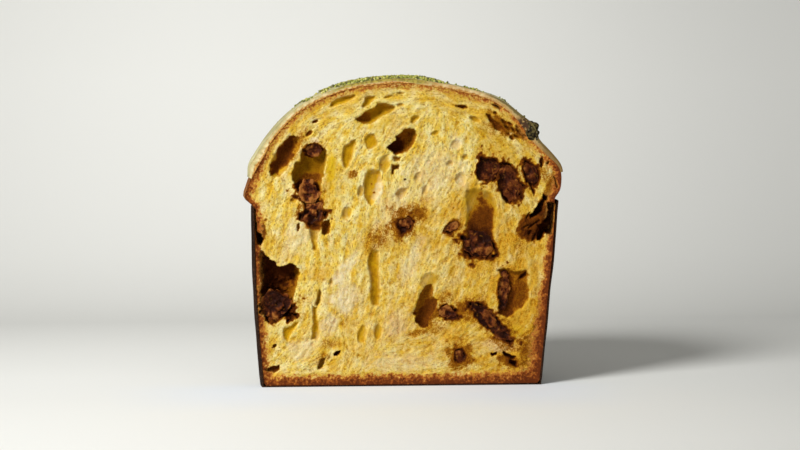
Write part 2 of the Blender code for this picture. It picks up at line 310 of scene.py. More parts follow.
class Wire:
    """A node's output, which sums can be written with."""

    def __init__(self, finish, socket):
        self.finish = finish
        self.socket = socket

    def maths(self, operation, *values):
        return self.finish.node("ShaderNodeMath", {"operation": operation}, dict(enumerate(values)))

    def __add__(self, other):
        return self.maths("ADD", self, other)

    def __radd__(self, other):
        return self.maths("ADD", other, self)

    def __sub__(self, other):
        return self.maths("SUBTRACT", self, other)

    def __rsub__(self, other):
        return self.maths("SUBTRACT", other, self)

    def __mul__(self, other):
        return self.maths("MULTIPLY", self, other)

    def __rmul__(self, other):
        return self.maths("MULTIPLY", other, self)

    def __abs__(self):
        return self.maths("ABSOLUTE", self)

    def between(self, low, high):
        """0 below low, 1 above high, and smooth between them."""
        return self.finish.node(
            "ShaderNodeMapRange",
            {"interpolation_type": "SMOOTHSTEP"},
            {"Value": self, "From Min": low, "From Max": high},
        )

    def band(self, rise, fall):
        """1 between a rise and a fall, which are two values each, and 0 outside them."""
        return self.between(*rise) * (1 - self.between(*fall))


class Finish:
    """One material, whose nodes all come from node()."""

    def __init__(self, name):
        self.material = bpy.data.materials.new(name)
        self.material.use_nodes = True
        self.tree = self.material.node_tree
        self.surface = self.tree.nodes["Principled BSDF"]

    def node(self, kind, settings=None, sockets=None, output=0):
        made = self.tree.nodes.new(kind)
        for key, value in (settings or {}).items():
            if key == "stops":
                self.set_stops(made.color_ramp, value)
            else:
                setattr(made, key, value)
        for key, value in (sockets or {}).items():
            self.join(value, made.inputs[key])
        return Wire(self, made.outputs[output])

    def set_stops(self, ramp, stops):
        while len(ramp.elements) < len(stops):
            ramp.elements.new(1)
        for element, (place, colour) in zip(ramp.elements, stops):
            element.position = place
            element.color = (*colour, 1)

    def join(self, value, socket):
        if isinstance(value, Wire):
            self.tree.links.new(value.socket, socket)
        elif isinstance(value, tuple) and socket.type == "RGBA":
            socket.default_value = (*value, 1)
        else:
            socket.default_value = value

    def set(self, **sockets):
        """Joins values or wires to the surface's sockets; an underscore stands for a space."""
        for key, value in sockets.items():
            self.join(value, self.surface.inputs[key.replace("_", " ")])
        return self.material

    def value(self, name):
        """A named value that the mesh carries on its vertices."""
        return self.node("ShaderNodeAttribute", {"attribute_name": name}, output="Fac")

    def places(self):
        return self.node("ShaderNodeTexCoord", output="Object")

    def place(self, axis):
        """How far along one axis a place is, in metres."""
        return self.node("ShaderNodeSeparateXYZ", sockets={0: self.places()}, output=axis)

    def noise(self, size, detail=3, roughness=0.5, stretch=None, distortion=0):
        """Noise from 0 to 1 with lumps of this size in metres, drawn out by a factor on each axis."""
        places = self.places()
        if stretch:
            places = self.node("ShaderNodeVectorMath", {"operation": "DIVIDE"}, {0: places, 1: stretch})
        return self.node(
            "ShaderNodeTexNoise",
            sockets={
                "Vector": places, "Scale": 1 / size, "Detail": detail,
                "Roughness": roughness, "Distortion": distortion,
            },
        )

    def drawn_out(self, size, reach, samples, detail=1):
        """Noise smeared along the grain that the mesh carries, so it looks like fibres."""
        grain = self.node("ShaderNodeAttribute", {"attribute_name": "grain"}, output="Vector")
        places, total = self.places(), 0.0
        for share in np.linspace(-1, 1, samples):
            moved = self.node(
                "ShaderNodeVectorMath",
                {"operation": "MULTIPLY_ADD"},
                {0: grain, 1: (share * reach,) * 3, 2: places},
            )
            total = total + self.node(
                "ShaderNodeTexNoise", sockets={"Vector": moved, "Scale": 1 / size, "Detail": detail}
            )
        return total * (1 / samples)

    def layered(self, colour, *layers):
        """A colour with others laid over it: each layer is a colour and its share, from 0 to 1."""
        for layer, share in layers:
            sockets = {MIX_SHARE: share, MIX_FIRST: colour, MIX_SECOND: layer}
            colour = self.node("ShaderNodeMix", {"data_type": "RGBA"}, sockets, output=MIX_RESULT)
        return colour

    def ramp(self, value, *stops):
        return self.node("ShaderNodeValToRGB", {"stops": stops}, {0: value})

    def bump(self, height, distance):
        return self.node("ShaderNodeBump", sockets={"Height": height, "Distance": distance})


# %% [markdown]
# ## The shape of the cut
# The crumb's edge has to meet the crust exactly. So the crust is turned and sliced first, and the outline of
# the cut is read from the slice: a closed line of points, across and up.

# %% The crust behind the cut
CRUST_SPOKES = 150
CRUST_STEPS = 3
CROWN_ROUNDING = 0.8 * MM
ROWS_TO_THE_TIP = (0.75, 0.5, 0.25)

crust_angles = all_round(CRUST_SPOKES)
crust_rows = bread_rows(crust_angles, CRUST_STEPS)
last_radius = crust_rows[:, -1, 0]
tip_rows = np.stack([
    np.column_stack([last_radius * share, np.full(CRUST_SPOKES, CROWN_TIP - CROWN_ROUNDING * share ** 2)])
    for share in ROWS_TO_THE_TIP
], axis=1)
crust_rows = np.concatenate([crust_rows, tip_rows], axis=1)
crust_places, crust_faces = turned_mesh(turned(crust_rows, crust_angles), PAPER + GAP, CROWN_TIP)
crust_body, crust_edges = sliced(crust_places, crust_faces, capped=False)


def edge_loop(edges):
    """The vertices of a closed line of edges, in order."""
    beside = {}
    for edge in edges:
        for vert in edge.verts:
            beside.setdefault(vert, []).append(edge.other_vert(vert))
    start = min(beside, key=lambda vert: (vert.co.z, vert.co.x))
    order, before = [start], None
    while True:
        here = order[-1]
        onward = [vert for vert in beside[here] if vert is not before]
        before = here
        if onward[0] is start and len(order) > 2:
            return order
        order.append(onward[0])


crust_loop = edge_loop(crust_edges)
outline = np.array([(vert.co.x - MIDDLE_X, vert.co.z) for vert in crust_loop])
area = 0.5 * np.sum(outline[:, 0] * np.roll(outline[:, 1], -1) - outline[:, 1] * np.roll(outline[:, 0], -1))
if area < 0:
    crust_loop.reverse()
    outline = outline[::-1]
print("outline points:", len(outline), "face area mm2:", round(abs(area) / MM ** 2))

# %% [markdown]
# ## The grid of the cut
# Bread is a foam, and a knife opens its bubbles. The foam could be modelled whole and cut with a Boolean,
# but millions of faces would never be seen. What shows is one surface, so the cut is a fine grid whose
# points are pushed back to the depth of the hollow that lies there, and trimmed to the outline.

# %% The grid of the cut
STEP = 0.57 * MM

low_corner, high_corner = outline.min(axis=0) - 2 * STEP, outline.max(axis=0) + 2 * STEP
across_line = np.arange(low_corner[0], high_corner[0], STEP)
up_line = np.arange(low_corner[1], high_corner[1], STEP)
ACROSS, UP = np.meshgrid(across_line, up_line)


def against(line, x, z):
    """For each point: distance to a closed line, whether inside it, the nearest point and its run along."""
    nearest = np.full(x.shape, np.inf)
    foot_x, foot_z, run = x.copy(), z.copy(), np.zeros(x.shape)
    inside = np.zeros(x.shape, dtype=bool)
    so_far = 0
    for (ax, az), (bx, bz) in zip(line, np.roll(line, -1, axis=0)):
        length = math.hypot(bx - ax, bz - az)
        share = np.clip(((x - ax) * (bx - ax) + (z - az) * (bz - az)) / length ** 2, 0, 1)
        near_x, near_z = ax + share * (bx - ax), az + share * (bz - az)
        away = np.hypot(x - near_x, z - near_z)
        closer = away < nearest
        news = (away, near_x, near_z, so_far + share * length)
        for kept, new in zip((nearest, foot_x, foot_z, run), news):
            kept[closer] = new[closer]
        if bz != az:
            inside ^= ((az > z) != (bz > z)) & (x < (bx - ax) * (z - az) / (bz - az) + ax)
        so_far += length
    return nearest, inside, foot_x, foot_z, run / so_far


def window_round(low, high):
    """The part of the grid between two corners, as slices."""
    ends = []
    for line, first, last in ((up_line, low[1], high[1]), (across_line, low[0], high[0])):
        ends.append(slice(max(0, int((first - line[0]) / STEP)), max(0, int((last - line[0]) / STEP) + 2)))
    return tuple(ends)


def off_egg(dx, dz, angle, length, width):
    """How far along and aside a place is, in half lengths and half widths of an egg at this angle."""
    cosine, sine = math.cos(angle), math.sin(angle)
    return (dx * cosine + dz * sine) / (length / 2), (dz * cosine - dx * sine) / (width / 2)


def grid_rough(size, seed, octaves=3):
    """Lumps with finer lumps on them, at each point of the grid."""
    return rough(ACROSS, UP, 0 * UP, size, seed, octaves)


edge_away, inside, foot_across, foot_up, edge_run = against(outline, ACROSS, UP)
edge_depth = np.where(inside, edge_away, 0)
print("grid:", ACROSS.shape, "inside:", int(inside.sum()))

# %% [markdown]
# ## The grain of the crumb
# A rising dough stretches its bubbles: upright in the middle, leaning outwards above, and flat under the
# crust. A few named places say which way the grain runs there, and every other place takes a mean of them
# by distance. Angles are doubled for the mean, because a grain has no front or back.

# %% The grain of the crumb
# Across and up in millimetres, and the grain's angle from level in degrees.
GRAIN = (
    (-67, 22, 48), (-67, 82, 80), (-85, 52, 90), (-31, 64, 88), (-31, 28, 76), (11, 64, 68),
    (47, 64, 72), (77, 58, 86), (59, 22, 28), (23, 112, 66), (-13, 112, 85), (-49, 112, 80),
    (-79, 112, 72), (-70, 142, 54), (-43, 168, 26), (-1, 175, 2), (41, 169, -20), (68, 148, -50),
    (86, 118, -68), (-1, 148, 58), (-31, 142, 70), (29, 148, 80), (-60, 4, 0), (0, 4, 0), (60, 4, 0),
)
GRAIN_REACH = 11 * MM
GRAIN_SWAY = 0.25
GRAIN_SWAY_SIZE = 9 * MM


def grain_angle(x, z):
    """The grain's angle from level in radians, as a mean of the named places by distance."""
    cosines, sines = 0, 0
    for across, up, degrees in GRAIN:
        away = ((x - across * MM) ** 2 + (z - up * MM) ** 2) / GRAIN_REACH ** 2
        weight = 1 / (0.3 + away) ** 2
        cosines = cosines + weight * math.cos(math.radians(2 * degrees))
        sines = sines + weight * math.sin(math.radians(2 * degrees))
    return 0.5 * np.arctan2(sines, cosines)


GRAIN_AT = grain_angle(ACROSS, UP) + GRAIN_SWAY * lumps(ACROSS, UP, 0 * UP, GRAIN_SWAY_SIZE, seed=3)
ROWS, COLUMNS = np.indices(ACROSS.shape)


def smeared(field, reach, samples):
    """The field drawn out along the grain by this much each way, as a brush would."""
    total = 0
    for share in np.linspace(-1, 1, samples):
        rows = np.rint(ROWS + share * reach / STEP * np.sin(GRAIN_AT)).astype(int)
        columns = np.rint(COLUMNS + share * reach / STEP * np.cos(GRAIN_AT)).astype(int)
        total = total + field[rows.clip(0, field.shape[0] - 1), columns.clip(0, field.shape[1] - 1)]
    return total / samples


draw = np.random.default_rng(5)
fine_strings = smeared(draw.standard_normal(ACROSS.shape), reach=3.2 * MM, samples=13)
fine_strings /= fine_strings.std()
broad_strings = smeared(lumps(ACROSS, UP, 0 * UP, 1.5 * MM, seed=8), reach=7 * MM, samples=19)
broad_strings /= broad_strings.std()
print("grain from", *(round(math.degrees(end)) for end in (GRAIN_AT.min(), GRAIN_AT.max())), "degrees")

# %% [markdown]
# ## The small bubbles
# Each bubble is half of a rough egg, laid along the grain and pressed into the surface. Thousands of small
# ones overlap, so that only thin ridges stay between them, and a few hundred larger ones sit among them.

# %% The small bubbles
EGG_MARGIN = 1.35
ROOM_FOR_WIDEST = 12 * MM
ANGLE_SPREAD = 0.22
DEPTH_SPREAD = (0.7, 1.3)
LIFT_SPREAD = (0.0, 0.75)
# How many, widths in millimetres, stretches along the grain, how hollow, how blunt and how varied in tone.
BUBBLES = (
    (700, (3.0, 5.2), (1.1, 2.0), 0.24, 1.0, 0.8),
    (3200, (1.9, 3.2), (1.1, 2.2), 0.32, 1.0, 0.6),
    (9000, (1.1, 2.0), (1.1, 2.0), 0.50, 0.9, 0.4),
)


def press(depth, place, length, width, angle, deepest, lift=0.0, roundness=0.5, waver=None):
    """Sinks an egg-shaped hollow into the grid, and returns the window and how far in it each point is."""
    reach = max(length, width) / 2 * EGG_MARGIN
    window = window_round((place[0] - reach, place[1] - reach), (place[0] + reach, place[1] + reach))
    along, aside = off_egg(ACROSS[window] - place[0], UP[window] - place[1], angle, length, width)
    out = along ** 2 + aside ** 2
    if waver is not None:
        out = out * (1 + waver[window])
    bowl = np.clip(1 - out, 0, 1) ** roundness
    sunk = np.where(out < 1, deepest * bowl + lift, 0)
    np.maximum(depth[window], sunk, out=depth[window])
    return window, bowl


def press_many(depth, tone, count, widths, stretches, hollowness, roundness, tinted):
    """Bubbles of these widths, stretched along the grain, at drawn places in the crumb."""
    narrowest, widest = (width * MM for width in widths)
    for _ in range(count):
        place = (draw.uniform(across_line[0], across_line[-1]), draw.uniform(up_line[0], up_line[-1]))
        row = min(int((place[1] - up_line[0]) / STEP), len(up_line) - 1)
        column = min(int((place[0] - across_line[0]) / STEP), len(across_line) - 1)
        room = edge_depth[row, column]
        # Bubbles stay smaller beside the crust, where the dough set first.
        width = draw.uniform(narrowest, widest) * (0.55 + 0.45 * min(1, room / ROOM_FOR_WIDEST))
        if room < width / 2:
            continue
        length = width * draw.uniform(*stretches)
        angle = GRAIN_AT[row, column] + draw.normal(0, ANGLE_SPREAD)
        deepest = width / 2 * hollowness * draw.uniform(*DEPTH_SPREAD)
        lift = -deepest * draw.uniform(*LIFT_SPREAD)
        window, bowl = press(depth, place, length, width, angle, deepest, lift, roundness)
        tone[window] += (draw.normal(0, tinted) - tone[window]) * np.minimum(1, 1.6 * bowl)


cells, tone = np.zeros(ACROSS.shape), np.zeros(ACROSS.shape)
for kind in BUBBLES:
    press_many(cells, tone, *kind)
print("cells to", round(cells.max() / MM, 2), "mm, mean", round(cells[inside].mean() / MM, 2))

# %% [markdown]
# ## The openings
# The big holes of this loaf are its face, so each keeps its own outline, measured on the cut in steps of
# 0.6 mm from the middle of its foot. Inside an outline the grid sinks quickly near the rim and evenly
# beyond, and noise shifts the rim by half a millimetre, because torn crumb has no smooth edge.

# %% The openings
TRACE_STEP = 0.6 * MM
# Name, depth and wall in millimetres, shares of olive, amber and cocoa, and the outline in trace steps.
# Olive and amber are painted shade inside the opening; cocoa is chocolate stain, and painted shade in the
# dark slits and gaps.
OPENINGS = (
    ("wide hole", 5, 3.0, 0.45, 1, 0,
     "-46,268 -42,270 -37,274 -33,276.5 -27,279 -24,282.5 -19,283.5 -14,282.5 -9,281 -6.5,278.5 -8,275.5 "
     "-13,273 -19,270 -24,267 -29,263 -34,262 -42,264 -45,266"),
    ("chocolate hole", 8, 3.2, 0.6, 0.9, 0.45,
     "-15,239 -12,242 -9,244 -6,247 -6,250.5 -2,253 2,256.5 7,258.5 12,258 15,255 15,250 13,245 11,240 "
     "6,235 -2,232.5 -6,231.5 -10,234.5 -12,237"),
    ("slanted hole", 5, 5.0, 0, 1, 0.1,
     "-131.5,215 -131.5,222 -128,229 -125,235 -122,240.5 -116.5,246 -112,251 -107,252 -102,249.5 "
     "-100.5,245 -101.5,240 -104,235 -108,229 -111,223.5 -114,218 -118,213 -122,210 -127,209.5 "
     "-130.5,211"),
    ("left hole", 7, 3, 0.9, 1, 0.05,
     "-109,208 -109.5,214 -107,220 -106.5,225 -101,226 -100.5,233 -99,236.5 -95,239 -93,242 -89,242.5 "
     "-82,241 -78,239 -75,236 -74.5,230 -76,224 -77,218 -77.5,211 -80,205 -81,196 -82,188 -80,180 "
     "-84,174 -94,176 -100,186 -104,198"),
    ("oval hole", 2.8, 3.4, 0, 0.95, 0,
     "-39,201 -39,194 -37,188 -34,183 -31,181 -28,183 -26,188 -22,193 -20,200 -20,208 -21,214 -23,216.5 "
     "-28,218 -33,216.5 -37,212"),
    ("round dip", 1.6, 1.8, 0.2, 1, 0,
     "-37,248 -33,253 -28,253 -25,248 -23,244 -25,241 -31,237 -34,237 -37,243"),
    ("tall dip", 2.0, 1.6, 0.1, 1, 0,
     "-60,226 -60,234 -58,241 -53,243 -50,247 -46,248 -45,244 -47,237 -49,230 -51,224 -54,218 -57,218"),
    ("upper dip", 1.9, 1.6, 0.2, 1, 0,
     "-41,280 -38,285 -37,289 -32,291 -26,290 -27,287 -31,283 -34,280 -39,278.5"),
    ("upper streak", 2.0, 1.6, 0.1, 1, 0,
     "-72,280.5 -70,284.5 -64,288 -57,290.5 -50,292 -45,291.5 -46,288.5 -53,285 -60,282 -68,279.5"),
    ("right dip", 1.8, 1.6, 0.1, 0.9, 0,
     "8,264 9,269 12,271.5 17,271 18,268 14,265 10,262"),
    ("dark slit", 3.2, 1.2, 0.2, 0.3, 0.55,
     "52,281 58,282 64,281.5 67,277 61,277 55,279"),
    ("hole under the chocolate hole", 4, 1.6, 0.6, 0, 0.4,
     "-10.5,223 -2,222 -2,218 -7,216 -8,211 -10.5,212"),
    ("brown dip", 2.4, 1.6, 0.5, 0.3, 0.25,
     "-10,231 0,230 -2,225 -8,225"),
    ("middle dip", 2, 2, 0, 1, 0,
     "-7,193 -4,197 -1,199 6,198.5 6,195 2,189 -2,186.5 -5,189"),
    ("first lined hollow", 6.5, 3, 0, 0, 1,
     "74.5,216 76,222 80,226 86,228 92,229 97,224 98,220 97,212 97,206 90,205 84,206 78,205 75,210"),
    ("second lined hollow", 7, 3.2, 0.2, 1, 0.75,
     "98,223 106,224 110,222 113,216 116,210 117,202 115,194 112,186 109,181 105,183 100,190 98,196 "
     "100,201 102,205 98,208 97,216"),
    ("trough", 2.1, 5.0, 0.62, 0.5, 0,
     "64,197 73,199 81,197 90,195 94,186 95,176 94,164 93,154 94,146 95,138 92,130 85,128 76,127 65,128 "
     "60,132 59,140 62,148 63,156 64,166 64,176 63,186"),
    ("groove", 2.4, 2.6, 0.1, 1, 0,
     "-31,138 -23,136 -22,124 -22,114 -21,101 -21,89 -22,81 -29,80 -32,88 -32,98 -32,108 -34,118 "
     "-35,126 -33,132"),
    ("lower hollow", 4.6, 3.4, 0.6, 0.6, 0.45,
     "25,102 30,103 32,97 31,90 36,86 34,80 32,74 28,69 27,58 20,59 13,64 14,70 11,72 13,78 16,86 19,94 "
     "22,99"),
    ("olive dip", 1.3, 3.0, 0.2, 0.55, 0,
     "17,102 19,109 23,113 29,115 33,113 36,107 35,102 32,95 25,96 20,98"),
    ("right hollow", 3.2, 2.6, 0.6, 0.5, 0.45,
     "95,116 102,118 106,117 113,115 126,116 129,111 127,104 129,96 128,86 122,78 115,73 106,67 98,71 "
     "96,78 99,88 100,98 101,106 98,112"),
    ("left cavity", 12, 4, 1, 1, 0.5,
     "-141,138 -138,136 -134,130 -130,127 -127,126 -125,122 -122,120 -117,121 -112,123.5 -106,122 "
     "-103,118 -102,112 -104,106 -106,98 -108,90 -109,82 -110,76 -113,70 -120,68 -126,66 -131,68 -132,64 "
     "-136,66 -139,76 -141,86 -141,96 -140,104 -142,116 -141,124 -143,131"),
    ("left gap", 11, 2, 0, 0, 1,
     "-150.5,180 -146,179 -145,171 -144,164 -144,156 -140,154 -138,148 -140,141 -144,143 -146,150 "
     "-148,160 -150,171"),
    ("right gap", 11, 2, 0, 0, 1,
     "142,193 146,189 147,186 143,185 142,179 141,174 135,170 129,167 128,170 132,174 135,178 138,183 "
     "141,187"),
    ("right void", 12, 2.2, 0, 0, 1,
     "146,183 152,184 155,183 154,171 153,158 152,150 148,151 144,153 142,149 139,145 136,146 135,150 "
     "138,156 136,160 141,163 145,168 147,176"),
    ("dark crack", 4, 1.4, 0, 0, 0.9,
     "122,214 124,219 124,224 126,223 128,219 131,218 132,213 131,209 134,210 136,212 137,210 133,204 "
     "132,198 134,196 133,189 131,192 129,198 127,202 126,208 123,210"),
    ("lower left dip", 1.8, 1.4, 0, 1, 0,
     "-119,55 -118,60 -113,61 -108,64 -102,66 -104,62 -109,56 -112,51 -114,45 -118,47"),
    ("brown dip beside the groove", 3.6, 1.6, 0.5, 0.6, 0,
     "-87,83 -85,90 -83,97 -82,100 -80,94 -81,87 -84,80"),
    ("amber streak", 2.6, 1.8, 0, 1, 0,
     "-90,81 -85,80 -84,70 -82,62 -82,53 -84,46 -91,48 -90,56 -89,66"),
    ("grey dip", 4.4, 1.8, 0.8, 0, 0.1,
     "-85,17 -83,24 -80,29 -76,29 -77,23 -81,17"),
    ("black slit", 5, 1, 0, 0, 1,
     "-69,32 -66,35 -61,36.5 -62,33 -66,30"),
    ("hole under the left chocolate", 5, 2, 0.7, 0, 0.5,
     "-80,154 -80,161 -77,167 -72,167 -71,161 -73,153 -77,151"),
    ("small dark hole", 3.4, 1.4, 0.6, 0, 0.5,
     "-105,157 -105,163 -102,165 -101,160 -103,155"),
    ("olive streak", 2.6, 2.2, 0.2, 0.7, 0,
     "-93,164 -86,164 -82,158 -84,148 -85,136 -89,138 -91,148 -93,156"),
    ("corner slit", 3.4, 1, 0.2, 0, 0.7,
     "-137,18 -130,21 -122,22 -122,17 -128,14 -134,15"),
    ("upper black slit", 4.4, 1, 0, 0, 1,
     "102,34 108,31 115,28 113,25 107,27 103,30"),
    ("left black slit", 3.4, 0.9, 0, 0, 1,
     "89,32 95,33 96,30 91,29"),
    ("lower black slit", 4.4, 1, 0, 0, 1,
     "109,26 117,23 116,17 112,19 108,23"),
    ("beak", 6, 1.4, 0, 0, 1,
     "116,106 120,111 125,114 126,110 121,106"),
    ("edge crack", 3, 1, 0, 0, 0.9,
     "152,211 155,207 158,199 156,196 154,203"),
    ("dark dip", 3.4, 1.4, 0, 0, 0.8,
     "138,228 142,230 143,223 141,218 138,220"),
    ("speckled dip", 3, 1.6, 0.2, 0.3, 0.7,
     "83,273 88,272 94,266 99,263 101,258 97,256 92,259 87,266"),
    ("upper crack", 2.8, 1.2, 0, 0, 0.8,
     "89,283 95,282 101,278 98,276 93,278.5"),
)
# Across, up, length, width, tilt in degrees and depth. All but the tilt are in millimetres.
DIPS = (
    (-0.6, 175.8, 5.0, 1.8, 0, 1.6), (-8.2, 173.6, 5.6, 1.4, 12, 1.2), (-1.0, 168.8, 4.4, 2.2, 0, 1.4),
    (43.6, 160.4, 7.4, 3.2, -26, 2.4), (-10.2, 134.0, 11.4, 6.2, 82, 1.8), (32.4, 145.2, 6.6, 6.0, 40, 1.5),
    (35.4, 124.8, 8.0, 6.4, 70, 1.6), (29.0, 133.8, 4.0, 3.6, 30, 1.5), (38.0, 137.4, 4.4, 3.4, 10, 1.6),
    (-24.6, 117.6, 8.0, 4.4, 80, 1.6), (-33.0, 104.4, 8.6, 6.0, 70, 1.6), (9.6, 126.0, 6.0, 4.0, 60, 1.6),
    (-64.8, 112.2, 4.0, 3.6, 0, 1.6), (-24.0, 31.0, 12.0, 5.0, 80, 1.6), (-14.4, 33.0, 10.0, 4.6, 82, 1.6),
    (-42.6, 63.0, 4.6, 2.4, 85, 1.8), (20.0, 152.0, 6.0, 3.0, 20, 1.4), (14.0, 118.0, 6.0, 3.2, 70, 1.4),
)
PORES = (
    (58.2, 155.0, 5.8, 4.0, -20, 3.0), (61.6, 158.4, 5.0, 2.0, -40, 2.4), (65.0, 157.4, 4.6, 1.6, -30, 2.0),
    (-55.4, 152.0, 4.8, 2.6, 40, 2.4), (-51.8, 159.0, 4.4, 2.0, 20, 2.0), (-76.4, 24.6, 3.2, 2.2, 45, 2.6),
    (77.0, 92.0, 3.4, 2.0, 60, 2.2), (79.2, 88.0, 3.2, 1.6, 40, 2.2), (56.0, 164.0, 3.0, 1.6, -32, 2.0),
    (-16.6, 116.4, 1.8, 1.4, 0, 2.4), (-18.0, 121.6, 1.4, 1.2, 0, 2.0), (2.0, 124.2, 2.0, 1.4, 0, 2.0),
    (66.0, 149.0, 4.0, 2.4, -50, 2.4), (70.6, 152.4, 6.4, 2.0, -44, 2.2), (88.0, 134.0, 3.0, 2.0, 60, 2.2),
    (57.0, 157.0, 3.4, 1.6, -40, 2.2), (60.4, 154.8, 4.2, 1.4, -50, 2.0), (63.6, 155.0, 5.2, 1.5, -36, 2.2),
    (67.0, 153.8, 4.6, 1.5, -52, 2.2), (69.4, 155.6, 3.6, 1.3, -40, 1.8), (69.0, 149.8, 4.6, 1.6, -30, 2.2),
    (73.6, 150.0, 3.2, 2.0, -30, 2.2), (74.6, 153.6, 5.0, 1.6, -60, 2.2), (64.0, 151.4, 2.6, 1.4, -40, 2.0),
    (78.4, 96.4, 6.0, 1.4, 40, 2.4), (81.6, 98.6, 5.0, 1.2, 30, 2.0), (76.0, 102.4, 5.0, 1.3, 60, 2.2),
    (82.0, 93.4, 5.0, 1.3, 70, 2.2), (75.0, 96.0, 4.4, 1.2, 30, 2.0), (80.4, 90.6, 4.2, 1.2, 60, 2.0),
)
# Lumps of chocolate: across, up, width, height, tilt in degrees, how far behind the cut in millimetres,
# how much paler than the rest, and how knobbly.
CHOCOLATE = (
    (-52.8, 142.2, 9.0, 7.0, 0, 3.0, 0.3, 1), (-55.6, 117.5, 13.0, 14.0, 20, 2.2, 0.12, 1),
    (-52.6, 104.4, 13.4, 14.0, -10, 1.8, 0.02, 1.1), (1.4, 97.2, 11.0, 10.0, 0, 1.8, 0.1, 1),
    (51.8, 130.4, 14.0, 14.6, 0, 3.6, 0.0, 0.35), (65.0, 121.6, 25.0, 12.0, -70, 3.8, 0.05, 0.35),
    (77.4, 127.6, 15.0, 8.0, -70, 2.4, 0.0, 0.5), (45.6, 84.2, 20.0, 15.5, 0, 2.4, -0.1, 0.7),
    (29.6, 95.6, 10.5, 5.0, 30, 1.6, 0.35, 1), (-76.0, 49.6, 17.5, 18.0, 0, 4.0, 0.0, 1),
    (27.8, 43.6, 12.6, 7.0, -28, 1.6, 0.15, 1), (53.2, 38.4, 31.0, 9.6, -43, 1.7, -0.3, 1),
    (35.0, 17.4, 8.4, 8.4, 0, 2.0, 0.2, 0.6), (61.4, 57.0, 25.0, 6.0, 86, 2.6, 0.0, 1),
)
print("openings:", len(OPENINGS), "dips and pores:", len(DIPS) + len(PORES), "lumps:", len(CHOCOLATE))

# %% [markdown]
# ## Sinking the openings
# Each opening pushes the grid back within its outline, and leaves its share of olive, amber and cocoa there
# for the colours to use later: olive and amber as painted shade, cocoa as chocolate stain and as painted
# shade in the dark slits and gaps. Dips and pores are plain eggs; dips add amber as painted shade, pores add
# cocoa.
# Each lump of chocolate gets a pocket to sit in, a little narrower than the lump, so that no gap shows round
# it, and a smudge a little wider.

# %% Sinking the openings
DEEP = 4.2 * MM
TEAR = 0.55 * MM
TEAR_SIZE = 1.9 * MM
WINDOW_MARGIN = 2 * MM
# A lump's pocket goes this far behind its front, in millimetres. Pocket and smudge have shares of its width.
POCKET_DEEPER = 2.4
POCKET_SHARE = 0.86
SMUDGE_SHARE = 1.16

waver = 0.35 * grid_rough(4 * MM, 27)
tear_across = TEAR * grid_rough(TEAR_SIZE, 21, octaves=2)
tear_up = TEAR * grid_rough(TEAR_SIZE, 24, octaves=2)
ragged = 1 + 0.4 * grid_rough(6 * MM, 41) + 0.28 * grid_rough(TEAR_SIZE, 44, octaves=2)


def opened(depth, deepest, wall, outline_text):
    """Sinks an opening with this outline, and returns its window and how far in each point is, 0 to 1."""
    points = [point.split(",") for point in outline_text.split()]
    line = np.array(points, dtype=float) * TRACE_STEP
    window = window_round(line.min(axis=0) - WINDOW_MARGIN, line.max(axis=0) + WINDOW_MARGIN)
    away, within, *_ = against(line, ACROSS[window] + tear_across[window], UP[window] + tear_up[window])
    steepness = 0.5 if deepest > DEEP else 0.9
    bowl = np.where(within, (1 - (1 - np.clip(away / wall, 0, 1)) ** 2) ** steepness, 0)
    np.maximum(depth[window], deepest * bowl, out=depth[window])
    return window, bowl


def washed(patches, softness):
    """The strongest of a table's soft patches at each point of the grid, with wavering edges."""
    strongest = np.zeros(ACROSS.shape)
    for across, up, length, width, tilt, strength in patches:
        angle = math.radians(tilt)
        along, aside = off_egg(ACROSS - across * MM, UP - up * MM, angle, length * MM, width * MM)
        out = np.hypot(along, aside) * ragged
        np.maximum(strongest, strength * (1 - smoothstep(1 - softness, 1 + softness, out)), out=strongest)
    return strongest


caves, olive, amber, lined = (np.zeros(ACROSS.shape) for _ in range(4))
for _, deepest, wall, *shares, outline_text in OPENINGS:
    window, bowl = opened(caves, deepest * MM, wall * MM, outline_text)
    # The shares grow towards the middle of the opening: olive and amber as painted shade, cocoa as stain and
    # shade.
    spread = bowl ** (0.35 if deepest * MM > DEEP else 0.55)
    for field, share in zip((olive, amber, lined), shares):
        np.maximum(field[window], share * spread, out=field[window])
# Dips add amber as painted shade, and pores add dark cocoa.
for hollows, field, shade in ((DIPS, amber, 0.8), (PORES, lined, 0.6)):
    for across, up, length, width, tilt, deepest in hollows:
        place, angle = (across * MM, up * MM), math.radians(tilt)
        window, bowl = press(caves, place, length * MM, width * MM, angle, deepest * MM, waver=waver)
        np.maximum(field[window], shade * bowl, out=field[window])
for across, up, width, height, tilt, behind, *_ in CHOCOLATE:
    pocket = (across, up, POCKET_SHARE * width, POCKET_SHARE * height, tilt, 1)
    smudge = (across, up, SMUDGE_SHARE * width, SMUDGE_SHARE * height, tilt, 0.95)
    np.maximum(caves, (behind + POCKET_DEEPER) * MM * washed([pocket], 0.12), out=caves)
    np.maximum(lined, washed([smudge], 0.22), out=lined)
print("deepest opening:", round(caves.max() / MM, 1), "mm")

# %% [markdown]
# ## The surface of the cut
# The parts of the relief now add up: a slow unevenness where the knife dragged, the bubbles, the strings of
# the grain, and the hollows. The strings fade inside the hollows, where the walls are smooth skins.

# %% The surface of the cut
KNIFE_DRAG = 0.6 * MM
RIM_DEPTH = 0.3 * MM
EDGE_DEPTH = 0.25 * MM
SUNKEN_REACH = 1.4 * MM
SLOW_SIZE, QUICK_SIZE = 16 * MM, 4.5 * MM
CRUMPLE_SIZE = 3.6 * MM
CALM_DEPTHS = (1.6 * MM, 4 * MM)
EDGE_FADE = 3.5 * MM

